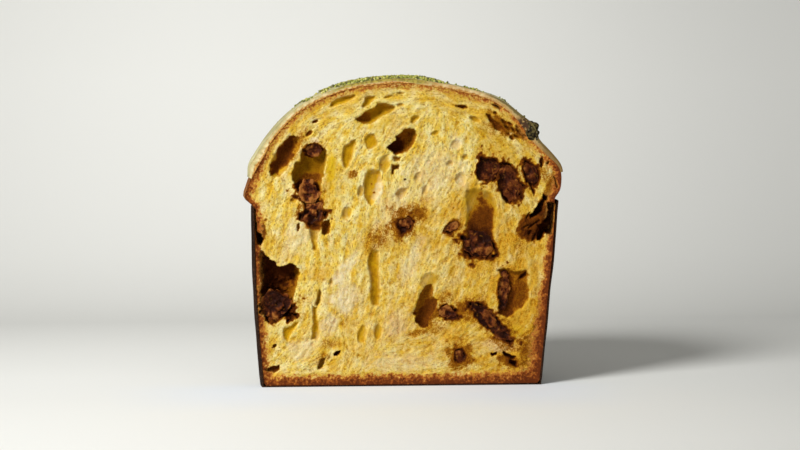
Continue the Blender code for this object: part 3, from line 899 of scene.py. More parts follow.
unevenness = (0.7 * grid_rough(SLOW_SIZE, 31, octaves=2) + 0.35 * grid_rough(QUICK_SIZE, 35, octaves=2)) * MM
calm = np.clip(smoothstep(*CALM_DEPTHS, caves) + 0.35 * amber, 0, 1)
strings = (0.06 * fine_strings + 0.05 * broad_strings) * MM * (1 - 0.6 * calm)
near_edge = smoothstep(0, EDGE_FADE, edge_depth)
crumpled = smoothstep(0.15, 0.6, lined) * np.clip(0.3 + grid_rough(CRUMPLE_SIZE, 47), 0, 1.2)
surface = np.maximum(caves * (1 - 0.32 * crumpled), cells * (1 - 0.9 * calm))
relief = np.clip(surface + (unevenness + strings + KNIFE_DRAG) * near_edge + RIM_DEPTH, 0, None)


def softened(field, reach):
    """The field's mean over a square of this half width."""
    half = max(1, int(round(reach / STEP)))
    for axis in (0, 1):
        padded = np.pad(field, [(half + 1, half) if side == axis else (0, 0) for side in (0, 1)], mode="edge")
        summed = np.cumsum(padded, axis=axis)
        low, high = [slice(None)] * 2, [slice(None)] * 2
        low[axis], high[axis] = slice(0, -2 * half - 1), slice(2 * half + 1, None)
        field = (summed[tuple(high)] - summed[tuple(low)]) / (2 * half + 1)
    return field


sunken = relief - softened(softened(relief, SUNKEN_REACH), SUNKEN_REACH)
print("relief to", round(relief.max() / MM, 1), "mm, uneven by", round(sunken[inside].std() / MM, 2), "mm")

# Grid points just outside the outline move on to it, and squares with no corner inside are left out.
shown_across, shown_up = np.where(inside, ACROSS, foot_across), np.where(inside, UP, foot_up)
corner_inside = inside[:-1, :-1] | inside[1:, :-1] | inside[:-1, 1:] | inside[1:, 1:]
index = np.arange(ACROSS.size).reshape(ACROSS.shape)
cut_quads = np.stack(
    [index[:-1, :-1], index[:-1, 1:], index[1:, 1:], index[1:, :-1]], axis=-1
)[corner_inside]
used, cut_quads = np.unique(cut_quads, return_inverse=True)
cut_quads = cut_quads.reshape(-1, 4)


def of_cut(field):
    """A field's values at the points of the cut face."""
    return field.ravel()[used]


cut_depth = of_cut(np.where(inside, relief, EDGE_DEPTH))
cut_places = np.stack([of_cut(shown_across) + MIDDLE_X, CUT_Y + cut_depth, of_cut(shown_up)], axis=-1)
print("cut face:", len(cut_places), "points,", len(cut_quads), "squares")

# %% [markdown]
# ## Where the crumb is brown or stained, and where sheen is painted
# An oven browns the outside few millimetres, and chocolate stains what it touches. Pale patches are a painted
# sheen of shiny skins, and the dark cocoa also stands for painted shade in slits and gaps.
# Painting these by hand needs a picture. Here each is a number on every vertex, worked out from how far the
# place is from the crust and from a few named stains, so the material only has to mix colours by them.

# %% Stains, sheen and skins by place
# Across, up, length, width, tilt in degrees and strength. Lengths are in millimetres.
COCOA_STAINS = (
    (-54.0, 112.0, 32, 16, 84, 0.4), (-61.5, 107.0, 11, 4, 75, 0.3), (-52.8, 142.4, 12, 9, 0, 0.45),
    (-51.6, 97.5, 13, 7, 0, 0.65), (-64.0, 143.0, 24, 7, 62, 0.3), (45.6, 90.0, 20, 16, 88, 0.6),
    (45.6, 84.0, 26, 21, 0, 0.45), (30.3, 96.0, 16, 8, 42, 0.5), (0.6, 97.0, 16, 14, 0, 0.55),
    (4.0, 103.0, 20, 14, 0, 0.42), (-16.2, 88.8, 15, 11, 60, 0.3), (-28.8, 127.8, 4.4, 4, 0, 0.4),
    (-76.0, 52.0, 22, 19, 90, 0.85), (17.0, 45.0, 16, 13, 60, 0.5), (22.0, 37.0, 20, 10, 20, 0.24),
    (53.0, 38.4, 42, 14, -43, 0.5), (61.4, 57.0, 27, 8, 86, 0.85), (68.0, 56.0, 25, 14, 86, 0.34),
    (35.0, 17.0, 18, 16, 0, 0.5), (35.0, 26.0, 10, 12, 0, 0.2), (84.0, 101.0, 30, 11, 66, 0.75),
    (62.0, 155.5, 25, 9, -40, 0.42), (78.0, 127.0, 18, 9, -70, 0.45), (71.5, 152.0, 12, 8, -45, 0.5),
    (27.8, 43.6, 18, 12, -28, 0.4), (77.5, 95.0, 17, 14, 40, 0.85), (-44.5, 26.0, 13, 7, 10, 0.22),
    (-48.0, 16.5, 10, 7, 45, 0.26), (50.0, 4.0, 60, 5, 0, 0.3), (59.0, 127.0, 30, 20, -40, 0.3),
    (66.0, 14.0, 16, 8, -20, 0.55), (-84.0, 93.0, 12, 5, 80, 0.7), (10.0, 32.0, 12, 4, 5, 0.35),
    (84.0, 34.0, 50, 9, 84, 0.5), (25.0, 52.0, 12, 8, 20, 0.28), (38.0, 45.0, 14, 11, -30, 0.42),
    (88.5, 118.0, 22, 6, 70, 0.4), (93.5, 120.5, 15, 5, 80, 0.7), (77.0, 20.0, 30, 13, 72, 0.4),
    (86.0, 129.0, 16, 9, 84, 0.24), (62.0, 24.0, 16, 7, -30, 0.3), (46.0, 54.0, 20, 12, 60, 0.16),
    (56.0, 70.0, 22, 14, 90, 0.16), (70.0, 84.0, 22, 8, 80, 0.2), (52.0, 152.0, 22, 12, -40, 0.16),
)
# Dark patches that stay inside the hollows, however far the patch reaches: chocolate linings, and painted
# shade in the deepest ones.
LININGS = (
    (-22.5, 161.0, 10, 8, 20, 0.4), (-3.5, 144.5, 13, 12, 20, 0.95), (-70.0, 139.6, 25, 9, 60, 0.8),
    (-77.0, 70.0, 30, 25, 75, 1.1), (50.5, 97.5, 25, 23, 0, 0.68), (47.5, 88.0, 24, 22, 0, 0.85),
    (62.0, 52.0, 34, 15, 80, 0.75), (15.5, 43.0, 26, 15, 70, 0.72), (71.0, 55.0, 24, 14, 84, 0.55),
    (-54.0, 125.4, 14, 7, 0, 0.6),
)
# Painted highlight: pale patches of sheen on shiny skins.
SHEEN_PATCHES = (
    (-34.0, 54.0, 20, 13, 80, 0.8), (-35.0, 70.0, 22, 7, 52, 0.9), (-43.0, 38.0, 13, 9, 90, 0.7),
    (-13.6, 117.0, 13, 5, 84, 0.75), (-52.2, 147.6, 5, 4, 0, 1.0), (32.4, 145.0, 9, 7, 40, 0.6),
    (35.4, 125.0, 9, 7, 70, 0.6), (-3.0, 36.0, 16, 12, 60, 0.5), (6.0, 76.0, 22, 9, 68, 0.5),
    (-5.0, 108.0, 26, 18, 70, 0.4), (20.0, 128.0, 34, 26, 40, 0.4), (-60.0, 22.0, 20, 12, 40, 0.5),
    (0.0, 14.0, 40, 10, 0, 0.4), (60.0, 24.0, 17, 8, -10, 0.5), (-62.0, 92.0, 22, 14, 60, 0.5),
)
BRIGHT_SKINS = (
    (-42.4, 131.0, 17, 6, 86, 1.0), (54.0, 108.0, 10, 6, 70, 0.8), (46.0, 112.0, 16, 15, 0, 0.45),
    (-62.0, 78.0, 14, 10, 60, 0.4), (67.0, 32.0, 14, 8, 20, 0.5), (40.0, 50.0, 26, 12, 70, 0.3),
    (55.0, 142.0, 40, 16, -50, 0.35), (-14.0, 156.5, 16, 4, 18, 0.5), (-40.0, 120.0, 14, 8, 80, 0.4),
)
# Where the crumb is a deeper, more orange yellow.
WARM_SIDES = (
    (64, 76, 80, 60, 90, 0.95), (72, 34, 70, 50, 90, 1.3), (34, 40, 70, 50, 60, 0.7),
    (0, 30, 130, 60, 0, 0.55), (10, 75, 70, 60, 0, 0.35), (28, 95, 60, 60, 0, 0.6),
    (-4, 36, 20, 26, 90, 0.8), (-50, 68, 9, 24, 90, 0.8), (44, 22, 60, 30, 0, 0.85),
    (47, 100, 50, 36, 90, 0.9), (66, 130, 50, 40, 60, 0.55), (-50, 118, 50, 24, 84, 0.5),
    (-80, 62, 60, 24, 90, 0.6), (0, 102, 26, 24, 0, 0.35), (-16, 88, 30, 20, 30, 0.5),
    (-36, 170, 70, 12, 20, 0.4), (40, 168, 80, 14, -20, 0.45), (-70, 140, 40, 20, 56, 0.5),
    (-5, 160, 40, 16, 10, 0.3), (0, 8, 170, 14, 0, 0.35),
)
print("stains and linings:", len(COCOA_STAINS) + len(LININGS), "skins:", len(SHEEN_PATCHES) + len(BRIGHT_SKINS))

# %% [markdown]
# ## Values on the cut
# The patches are washed over the grid and the browning reaches in from its edge, widest at the lower right.
# The value called oven is 0 all over the cut and 1 on the crust's outside, which the heat has toasted.

# %% Values on the cut
GLAZED_ABOVE = (128 * MM, 142 * MM)
NEAR_THE_BASE = (14 * MM, 3 * MM)
LOW_RIGHT_ACROSS, LOW_RIGHT_UP = (25 * MM, 84 * MM), (75 * MM, 25 * MM)
RIGHT_SIDE = (60 * MM, 84 * MM)
LEFT_SIDE_ACROSS, LEFT_SIDE_UP = (-60 * MM, -84 * MM), (105 * MM, 70 * MM)

grainy = grid_rough(2.2 * MM, 43)
beside = 1 - smoothstep(*GLAZED_ABOVE, UP)
low_down = smoothstep(*NEAR_THE_BASE, UP)
low_right = smoothstep(*LOW_RIGHT_ACROSS, ACROSS) * smoothstep(*LOW_RIGHT_UP, UP)
# How far in the browning reaches, and how strong it is, by where on the loaf it lies.
crust_band = (7.0 + 0.6 * beside + 4.6 * low_down + 4.4 * low_right) * MM * (1 + 0.3 * grainy)
right_side = smoothstep(*RIGHT_SIDE, ACROSS) * beside
left_side = smoothstep(*LEFT_SIDE_ACROSS, ACROSS) * smoothstep(*LEFT_SIDE_UP, UP)
crust_strength = 0.50 + 0.24 * beside + 0.18 * right_side - 0.08 * left_side + 0.12 * low_down
crust = crust_strength * (1 - smoothstep(-0.15, 1, edge_depth / crust_band)) / (1 - smoothstep(-0.15, 1, 0))
crust = crust + 0.10 * (1 - smoothstep(0, 10 * MM, edge_depth)) * (0.4 + 0.6 * beside)
crust = np.clip(crust + 0.16 * grainy * smoothstep(0.1, 0.5, crust), 0, 1) * (1 - 0.8 * lined)
hollowed = smoothstep(0.4 * MM, 1.6 * MM, caves)
lined = np.maximum(lined, washed(LININGS, 0.4) * hollowed)
# Chocolate stains, together with painted shade where slits, gaps and deep hollows are lined dark.
cocoa = np.clip(np.maximum(washed(COCOA_STAINS, 0.45) * (1 + 0.35 * grainy), lined), 0, 1)
pale = np.clip(washed(SHEEN_PATCHES, 0.5) * (1 + 0.5 * grainy), 0, 1)
bright = washed(BRIGHT_SKINS, 0.4)
warm = np.maximum(washed(WARM_SIDES, 0.75), 0.65 * (1 - smoothstep(0, 12 * MM, edge_depth)))
# Painted shade: the crumb darkens where the cut lies deeper than its surroundings, along the grain's grooves
# too.
pit = smoothstep(-0.4 * MM, 0.6 * MM, sunken + (0.07 * broad_strings + 0.06 * fine_strings) * MM)

fields = {
    "pit": pit * (1 - 0.7 * calm), "tone": tone * (1 - calm), "warm": warm, "cave": olive, "crust": crust,
    "cocoa": cocoa, "pale": pale, "bright": bright, "amber": amber, "oven": 0 * amber,
}
cut_values = {key: of_cut(field) for key, field in fields.items()}
cut_grain = of_cut(GRAIN_AT)
cut_values["grain"] = np.stack([np.cos(cut_grain), 0 * cut_grain, np.sin(cut_grain)], axis=-1)
print("values on the cut:", *cut_values)

# %% [markdown]
# ## The loaf in one piece
# The cut face and the crust were made apart, and their edges follow one outline with different points. They
# could simply overlap, but a bread without a leak is better: a strip of triangles walks round both edges
# and always takes the nearer of the two next points.

# %% The loaf in one piece
SEAM_BEHIND = 0.5 * MM
CRUST_OUTSIDE = 0.85


def zipped(first, first_run, second, second_run):
    """Triangles between two closed lines of points that run the same way, by how far along each point is."""
    faces, i, j = [], 0, 0
    while i < len(first) or j < len(second):
        next_first = first_run[i + 1] if i + 1 < len(first) else 1.0
        next_second = second_run[j + 1] if j + 1 < len(second) else 1.0
        a, b = first[i % len(first)], second[j % len(second)]
        if j >= len(second) or (i < len(first) and next_first <= next_second):
            faces.append((a, first[(i + 1) % len(first)], b))
            i += 1
        else:
            faces.append((a, second[(j + 1) % len(second)], b))
            j += 1
    return faces


def border(quads):
    """The vertices round the edge of an array of quads, in order."""
    sides = np.concatenate([quads[:, [n, (n + 1) % 4]] for n in range(4)])
    both = {tuple(side) for side in sides.tolist()}
    onward = {a: b for a, b in both if (b, a) not in both}
    start = min(onward)
    order = [start]
    while onward[order[-1]] != start:
        order.append(onward[order[-1]])
    return order


cut_border = border(cut_quads)
border_run = of_cut(edge_run)[cut_border]
first = int(np.argmin(border_run))
cut_border = cut_border[first:] + cut_border[:first]
border_run = np.maximum.accumulate(np.concatenate([border_run[first:], border_run[:first]]))

crust_body.verts.index_update()
crust_points = np.array([vert.co for vert in crust_body.verts])
crust_triangles = [[vert.index for vert in face.verts] for face in crust_body.faces]
loop_index = [vert.index for vert in crust_loop]
loop_length = np.linalg.norm(np.roll(outline, -1, axis=0) - outline, axis=1)
loop_run = np.concatenate([[0], np.cumsum(loop_length)[:-1]]) / loop_length.sum()
crust_body.free()

crust_points[loop_index, 1] += SEAM_BEHIND
shift = len(cut_places)
seam = zipped(cut_border, border_run, [n + shift for n in loop_index], loop_run)
loaf_faces = cut_quads.tolist() + [[n + shift for n in face] for face in crust_triangles] + seam
crust_values = {key: np.zeros((len(crust_points), *field.shape[1:])) for key, field in cut_values.items()}
crust_values["grain"][:, 2] = 1
crust_values["crust"] += CRUST_OUTSIDE
crust_values["oven"] += 1
loaf_values = {key: np.concatenate([cut_values[key], crust_values[key]]) for key in cut_values}
loaf = new_piece("cut_loaf", np.vstack([cut_places, crust_points]), loaf_faces, loaf_values)
loaf_triangles = sum(len(face) - 2 for face in loaf_faces)
print("loaf:", loaf_triangles, "triangles, faults:", faults(loaf))
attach(loaf, "root")
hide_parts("loaf")

# %% [markdown]
# ## The look of the crumb
# Bread is not one colour. Thin ridges scatter light and look like cream. The walls of its bubbles look amber
# because light has crossed more of the moist crumb, and the deep holes look olive brown in their shade; both
# are painted into the colour as painted shade, and so is the darkening of pits and tiny pores. Pale patches
# are a painted sheen. Each of the vertex values mixes one of these colours in, and noise finer than the grid
# breaks their edges.

# %% The look of the crumb
THREAD_CREAM = (0.84, 0.71, 0.28)
# Painted shade in the tiny pores.
PORE_SHADE = (0.26, 0.10, 0.003)
SKIN_TAN = (0.54, 0.31, 0.09)
BRIGHT_YELLOW = (0.66, 0.42, 0.008)
# Painted sheen on shiny skins.
SHEEN_CREAM = (0.78, 0.67, 0.42)
# The crust's outside darkens from left to right between these places.
DARKER_FROM, DARKER_TO = 45 * MM, 88 * MM

crumb = Finish("crumb_and_crust")
recess_shaded, toned, crusted, soaked_and_shaded = (crumb.value(name) for name in ("pit", "tone", "crust", "cocoa"))
fibre = crumb.drawn_out(0.7 * MM, 0.8 * MM, 4)
threads = 1 - abs(fibre - 0.5).between(0.0, 0.035)
tiny_pores = (crumb.drawn_out(0.9 * MM, 0.4 * MM, 3) - 0.565).between(0.0, 0.06)
patches = crumb.drawn_out(4.5 * MM, 3.2 * MM, 5, detail=3)
skins = (crumb.noise(3.2 * MM, detail=2) - 0.60).between(0.0, 0.08)
grit = crumb.noise(0.8 * MM, detail=4, roughness=0.65)
granules = crumb.noise(1.5 * MM)
mottle = crumb.noise(5 * MM)
veil = crumb.noise(9 * MM, distortion=0.4)
drift = crumb.noise(17 * MM, detail=2)
wall_mottle = grit * 0.5 + mottle * 0.5
# Painted shade in recesses, mixed with each bubble's random tone and fine grit.
shadow = (recess_shaded * 0.5 + toned * 0.18 + (grit - 0.5) * 1.7 + 0.06).between(-0.1, 1.1)
ripe = toned * 0.2 + recess_shaded * 0.12 + (patches - 0.5) * 3.2 + (mottle - 0.5) * 0.9 + (drift - 0.5) * 0.6
ripe = (ripe + 0.38).between(-0.1, 1.1)
ridges = crumb.ramp(
    ripe,
    (0.0, (0.84, 0.74, 0.36)), (0.35, (0.82, 0.66, 0.19)),
    (0.65, (0.79, 0.54, 0.065)), (1.0, (0.70, 0.41, 0.011)),
)
# Painted shade: a darker copy of the ridge colours, mixed in by the shadow value.
pits = crumb.ramp(
    ripe,
    (0.0, (0.54, 0.38, 0.10)), (0.35, (0.50, 0.30, 0.042)),
    (0.65, (0.46, 0.23, 0.010)), (1.0, (0.36, 0.15, 0.002)),
)
warmed = crumb.ramp(
    shadow, (0.0, (0.68, 0.39, 0.035)), (0.5, (0.48, 0.21, 0.006)), (1.0, (0.22, 0.065, 0.001)),
)
# Painted shade and glow in the dips, and painted shade deep in the holes.
amber_shade_colours = crumb.ramp(wall_mottle, (0.35, (0.40, 0.18, 0.002)), (0.6, (0.60, 0.34, 0.006)))
hollow_shade_colours = crumb.ramp(wall_mottle, (0.38, (0.16, 0.055, 0.0005)), (0.60, (0.30, 0.13, 0.001)))
uneven = (grit - 0.5) * 0.55 + (shadow - 0.45) * 0.22 + (veil - 0.5) * 0.35
# Chocolate stain and painted shade together: darkest where the cocoa value is high.
stain_and_shade = soaked_and_shaded * 1.08 + uneven * soaked_and_shaded.between(0.0, 0.3)
stain_and_shade_colours = crumb.ramp(
    stain_and_shade,
    (0.05, (0.58, 0.29, 0.007)), (0.25, (0.36, 0.14, 0.004)),
    (0.55, (0.16, 0.042, 0.002)), (0.95, (0.050, 0.010, 0.001)),
)
baked = crusted + ((granules - 0.5) * 1.3 + (grit - 0.5) * 0.5) * crusted.between(0.0, 0.4)
baked = baked.between(0.0, 1.0)
browned = crumb.ramp(
    baked,
    (0.0, (0.68, 0.41, 0.09)), (0.35, (0.54, 0.215, 0.035)),
    (0.7, (0.32, 0.085, 0.013)), (1.0, (0.12, 0.026, 0.006)),
)
darker = crumb.place("X").between(DARKER_FROM, DARKER_TO) * 0.12
toasted = crumb.ramp(
    drift * 0.5 + mottle * 0.3 + granules * 0.2 - darker,
    (0.38, (0.10, 0.034, 0.010)), (0.5, (0.23, 0.095, 0.028)), (0.62, (0.38, 0.195, 0.065)),
)
colour = crumb.layered(
    ridges,
    (pits, shadow),
    (THREAD_CREAM, threads * 0.3),
    (PORE_SHADE, tiny_pores * 0.6),
    (SKIN_TAN, skins * 0.4),
    (warmed, crumb.value("warm") * ((veil - 0.5) * 3.0 + 0.9)),
    (BRIGHT_YELLOW, crumb.value("bright") * 0.75),
    (amber_shade_colours, crumb.value("amber")),
    (SHEEN_CREAM, crumb.value("pale") * (0.95 - shadow * 0.7)),
    (hollow_shade_colours, crumb.value("cave")),
    (stain_and_shade_colours, stain_and_shade.between(0.0, 0.36)),
    (browned, (baked * 1.9).between(0.0, 1.0)),
    (toasted, crumb.value("oven") * 0.75),
)
loaf.data.materials.append(crumb.set(
    Base_Color=colour,
    Roughness=0.80 - 0.2 * crumb.value("pale"),
    Normal=crumb.bump(0.3 * threads + 0.8 * grit - 0.4 * tiny_pores, 0.34 * MM),
    Subsurface_Weight=0.2,
    Subsurface_Radius=(1.2, 0.7, 0.2),
    Subsurface_Scale=1.5 * MM,
    Specular_IOR_Level=0.04,
))
print("crumb finish:", len(crumb.tree.nodes), "nodes")

# %% [markdown]
# ## The glaze
# The glaze was poured on the baked crown and set: thin on top, thicker where it ran down, with a rounded,
# wavy lower edge. Its lower face follows the crust and its upper face stands off it along the crust's own
# normals, which keeps the thickness true on the steep sides. Shallow dimples and runs keep it hand-made.

# %% The glaze
GLAZE_TOP = 2.1 * MM
GLAZE_LEFT = 4.0 * MM
GLAZE_RIGHT = 2.9 * MM
GLAZE_THIN_ABOVE = (154 * MM, 180 * MM)
GLAZE_THICK_BELOW = (130 * MM, 150 * MM)
GLAZE_EDGE = 129 * MM
GLAZE_EDGE_WAVE = 2.7 * MM
# The edge's waves: how many go round, their share and their shift.
GLAZE_EDGE_RUNS = ((3, 1, 1.1), (7, 0.8, 0.4), (12, 0.4, 0))
GLAZE_EDGE_THICKNESS = 0.8 * MM
GLAZE_EDGE_RUN = 9 * MM
GLAZE_SUNK = 0.35 * MM
GLAZE_HEAP = 3.2 * MM
GLAZE_HEAP_REACH = 7 * MM
KERNEL_AT = (76.2 * MM, 154.4 * MM)
GLAZE_SPOKES = 340
GLAZE_STEPS = 8
GLAZE_ROWS = 90
DIMPLE_DEPTH = 0.30 * MM
PITTING_DEPTH = 0.10 * MM
RUN_DEPTH = 0.25 * MM
RUN_WIDTH = 6 * MM
DIMPLE_SIZE, PITTING_SIZE = 14 * MM, 3 * MM
RUNS_FADE = (176 * MM, 150 * MM)


def resampled(rows, count):
    """One outline's rows set evenly along it."""
    steps = np.linalg.norm(np.diff(rows[:, :2], axis=0), axis=1)
    run = np.concatenate([[0], np.cumsum(steps)])
    even = np.linspace(0, run[-1], count)
    return even, np.column_stack([np.interp(even, run, column) for column in rows.T])


def glaze_rows(angle, bread):
    """Radii and heights of the glaze's outer and inner face at one angle."""
    rows = np.vstack([bread, [[0.0, CROWN_TIP]]])
    along = np.gradient(rows, axis=0)
    normals = np.column_stack([along[:, 1], -along[:, 0]])
    normals /= np.linalg.norm(normals, axis=1)[:, None]
    normals[-1] = (0, 1)
    columns = np.hstack([rows, normals])[int(np.argmax(rows[:, 0])):]
    runs = sum(size * math.sin(waves * angle + shift) for waves, size, shift in GLAZE_EDGE_RUNS)
    edge = GLAZE_EDGE + GLAZE_EDGE_WAVE * runs
    start = np.array([[np.interp(edge, columns[:, 1], column) for column in columns.T]])
    run, rows = resampled(np.vstack([start, columns[columns[:, 1] > edge]]), GLAZE_ROWS)
    place, normals = rows[:, :2], rows[:, 2:]
    x, behind_cut = place[:, 0] * math.cos(angle), place[:, 0] * math.sin(angle) + KNIFE_OFFSET
    from_kernel = np.sqrt((x - KERNEL_AT[0]) ** 2 + behind_cut ** 2 + (place[:, 1] - KERNEL_AT[1]) ** 2)
    rightness = (1 + math.cos(angle)) / 2
    side = GLAZE_LEFT + (GLAZE_RIGHT - GLAZE_LEFT) * rightness
    thick_below, thin_above = (
        ends[0] + (ends[1] - ends[0]) * rightness for ends in (GLAZE_THICK_BELOW, GLAZE_THIN_ABOVE)
    )
    thickness = side + (GLAZE_TOP - side) * smoothstep(thick_below, thin_above, place[:, 1])
    thickness = thickness + GLAZE_HEAP * np.exp(-((from_kernel / GLAZE_HEAP_REACH) ** 2))
    full = smoothstep(0, GLAZE_EDGE_RUN * (1 + rightness), run) ** 0.7
    thickness = GLAZE_EDGE_THICKNESS + (thickness - GLAZE_EDGE_THICKNESS) * full
    return place + normals * (GAP + thickness)[:, None], place - normals * GLAZE_SUNK


glaze_angles = all_round(GLAZE_SPOKES)
both_faces = np.array([
    glaze_rows(angle, bread) for angle, bread in zip(glaze_angles, bread_rows(glaze_angles, GLAZE_STEPS))
])
outer_rows, inner_rows = both_faces[:, 0, :-1], both_faces[:, 1, :-1]
ox, oy, oz = np.moveaxis(turned(outer_rows, glaze_angles), -1, 0)
dimples = DIMPLE_DEPTH * rough(ox, oy, oz, DIMPLE_SIZE, 51, 2)
dimples = dimples + PITTING_DEPTH * rough(ox, oy, oz, PITTING_SIZE, 55, 2)
round_x, round_y = (trig(glaze_angles)[:, None] * 40 * MM for trig in (np.cos, np.sin))
runs_down = RUN_DEPTH * lumps(round_x, round_y, oz / 6, RUN_WIDTH, 57) * smoothstep(*RUNS_FADE, oz)
outer_rows = outer_rows + np.stack([dimples + runs_down, 0.7 * dimples], axis=-1)
outer_places = turned(outer_rows, glaze_angles)
inner_places = turned(inner_rows, glaze_angles)
places = np.concatenate([inner_places[:, ::-1], outer_places], axis=1)
glaze_places, glaze_faces = turned_mesh(places, CROWN_TIP + GAP, CROWN_TIP + GAP + GLAZE_TOP)
skin = np.append(np.tile(np.repeat([0.0, 1.0], inner_places.shape[1]), GLAZE_SPOKES), [0.0, 1.0])
glaze_body, _ = sliced(glaze_places, glaze_faces, capped=True, skin=skin)


def finished(name, body):
    """An object from a bmesh, with smooth faces but for the flat cut."""
    mesh = bpy.data.meshes.new(name)
    for face in body.faces:
        face.smooth = face.material_index == 0
    body.to_mesh(mesh)
    body.free()
    return linked(name, mesh)


glaze = finished("set_glaze", glaze_body)
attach(glaze, "root")
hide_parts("glaze")
print("glaze:", len(glaze.data.polygons), "faces, faults:", faults(glaze))

# %% [markdown]
# ## The look of the glaze
# Set icing is a pale olive outside, with darker specks of nut. Where the knife went through it, it goes from
# milky at the left to cream, is browned against the crust, and carries a dust of nuts along its top. Its
# sliced edge has a painted shade along the outer rim, strongest at the right shoulder.

# %% The look of the glaze
SPECK_OLIVE = (0.13, 0.11, 0.03)

icing = Finish("set_icing")
cloud = icing.noise(16 * MM)
speck = icing.noise(1.1 * MM)
drip = icing.noise(5 * MM, detail=2, stretch=(1, 1, 5))
tint = icing.ramp(
    (cloud * 0.6 + drip * 0.4).between(0.3, 0.72),
    (0.0, (0.27, 0.23, 0.09)), (0.45, (0.38, 0.335, 0.15)), (1.0, (0.54, 0.49, 0.26)),
)
glaze.data.materials.append(icing.set(
    Base_Color=icing.layered(tint, (SPECK_OLIVE, (speck - 0.56).between(0.0, 0.14) * 0.7)),
    Roughness=0.42 + speck * 0.22,
    Specular_IOR_Level=0.15,
    Normal=icing.bump(icing.noise(2.4 * MM, detail=4) + speck * 0.25, 0.3 * MM),
    Subsurface_Weight=0.15,
    Subsurface_Radius=(1.0, 0.8, 0.5),
    Subsurface_Scale=1.2 * MM,
))

# Where the sliced edge of the glaze changes, from left to right along the cut.
TURNS_CREAM = (-55 * MM, -12 * MM)
NUTS_BEGIN = (-46 * MM, -38 * MM)
NUTS_END = (10 * MM, 22 * MM)
SHOULDER = (44 * MM, 60 * MM)
LOW_END = (78 * MM, 88 * MM)
BURNT_SPOT_AT = (71.6 * MM, CUT_Y, 156.5 * MM)
BURNT_SPOT_EDGE = (3 * MM, 6.5 * MM)
SHOULDER_TAN = (0.44, 0.30, 0.11)
# Painted shade along the rim of the cut glaze.
RIM_SHADE = (0.12, 0.095, 0.03)
LOW_BROWN = (0.17, 0.10, 0.03)
BURNT = (0.07, 0.036, 0.018)

sliced_icing = Finish("sliced_icing")
cloud = sliced_icing.noise(3 * MM, detail=4)
granules = sliced_icing.noise(1.3 * MM)
cloudy, grained = cloud.between(0.3, 0.7), granules.between(0.35, 0.65)
outward = sliced_icing.value("skin") + (cloud - 0.5) * 0.5 + (granules - 0.5) * 0.5
rightward = sliced_icing.place("X")
nuts = rightward.band(NUTS_BEGIN, NUTS_END)
shoulder = rightward.between(*SHOULDER)
milky = sliced_icing.ramp(cloudy, (0.0, (0.50, 0.40, 0.16)), (1.0, (0.76, 0.64, 0.34)))
cream = sliced_icing.ramp(cloudy, (0.0, (0.50, 0.30, 0.10)), (1.0, (0.72, 0.56, 0.29)))
browned = sliced_icing.ramp(grained, (0.0, (0.34, 0.13, 0.02)), (1.0, (0.66, 0.35, 0.08)))
nutty = sliced_icing.ramp(grained, (0.0, (0.20, 0.15, 0.018)), (1.0, (0.46, 0.36, 0.06)))
from_spot = sliced_icing.node(
    "ShaderNodeVectorMath",
    {"operation": "DISTANCE"},
    {0: sliced_icing.places(), 1: BURNT_SPOT_AT},
    output="Value",
)
tint = sliced_icing.layered(
    milky,
    (cream, rightward.between(*TURNS_CREAM)),
    (SHOULDER_TAN, shoulder * 0.75),
    (browned, (1 - outward.between(0.15, 0.5)) * (1 - shoulder * 0.5)),
    (nutty, nuts * outward.between(0.3, 0.65) * 0.9),
    # Painted shade along the outer rim of the cut, strongest at the right shoulder.
    (RIM_SHADE, (outward + shoulder * 0.28).between(0.72, 1.0) * (0.3 + shoulder * 0.6)),
    (LOW_BROWN, rightward.between(*LOW_END) * 0.75),
    (BURNT, (1 - from_spot.between(*BURNT_SPOT_EDGE)) * granules.between(0.3, 0.5)),
)
glaze.data.materials.append(sliced_icing.set(
    Base_Color=tint,
    Roughness=0.5 + cloud * 0.2,
    Specular_IOR_Level=0.1,
    Normal=sliced_icing.bump(cloud, 0.4 * MM),
    Subsurface_Weight=0.15,
    Subsurface_Scale=1.2 * MM,
))
print("icing finishes:", len(icing.tree.nodes), "and", len(sliced_icing.tree.nodes), "nodes")

# %% [markdown]
# ## Chopped pistachios
# The crown carries a thick scatter of chopped nuts that thins out down the sides. Particles would be easy
# but wouldn't stay with the model, so every crumb is real: a twenty-sided shard, stretched and bent at
# random, set on a drawn face of the glaze. All of them are one mesh, and each carries its own shade.

# %% Chopped pistachios
CRUMB_COUNT = 5600
DUST_COUNT = 3200
CRUMB_SIZE = (0.8 * MM, 2.1 * MM)
DUST_SIZE = (0.35 * MM, 0.8 * MM)
SCATTER_MIDDLE = (-8 * MM, AXIS_Y + 6 * MM)
SCATTER_REACH = 29 * MM
SCATTER_EDGE = (0.75, 1.35)
SCATTER_LOWEST = (150 * MM, 170 * MM)
BEHIND_CUT = (28 * MM, 48 * MM)
CLEAR_OF_CUT = 0.2 * MM
CLUMP_SIZE = 9 * MM
BARE_PATCH_SIZE = 24 * MM
CRUMBS_ELSEWHERE, DUST_ELSEWHERE, MORE_BEHIND = 0.004, 0.03, 0.05
DUST_REACH = 1.05 * SCATTER_REACH
MOSTLY_SMALL = 1.6
LEAST_STRETCH, MORE_STRETCH = 0.62, 0.6
BEND = 0.28
MOST_BENDS = 1.4
STANDS_OFF_GLAZE = 0.22
PAST_THE_KNIFE = 0.4 * MM
# Small clumps beside the thick scatter: across, behind the cut and reach in millimetres, and weight.
CLUMPS = (
    (-57.6, 2, 1.5, 1.6), (-47.6, 2, 1.5, 1.8), (-46, 16, 4, 0.6), (25, 2, 2, 1.4), (40, 2, 2, 1.6),
    (44, 3, 1.6, 1.4), (-60, 30, 4, 0.4), (52, 34, 4, 0.4), (30, 60, 5, 0.5), (-40, 62, 5, 0.5),
    (0, 78, 5, 0.4), (62, 14, 2, 0.3),
)


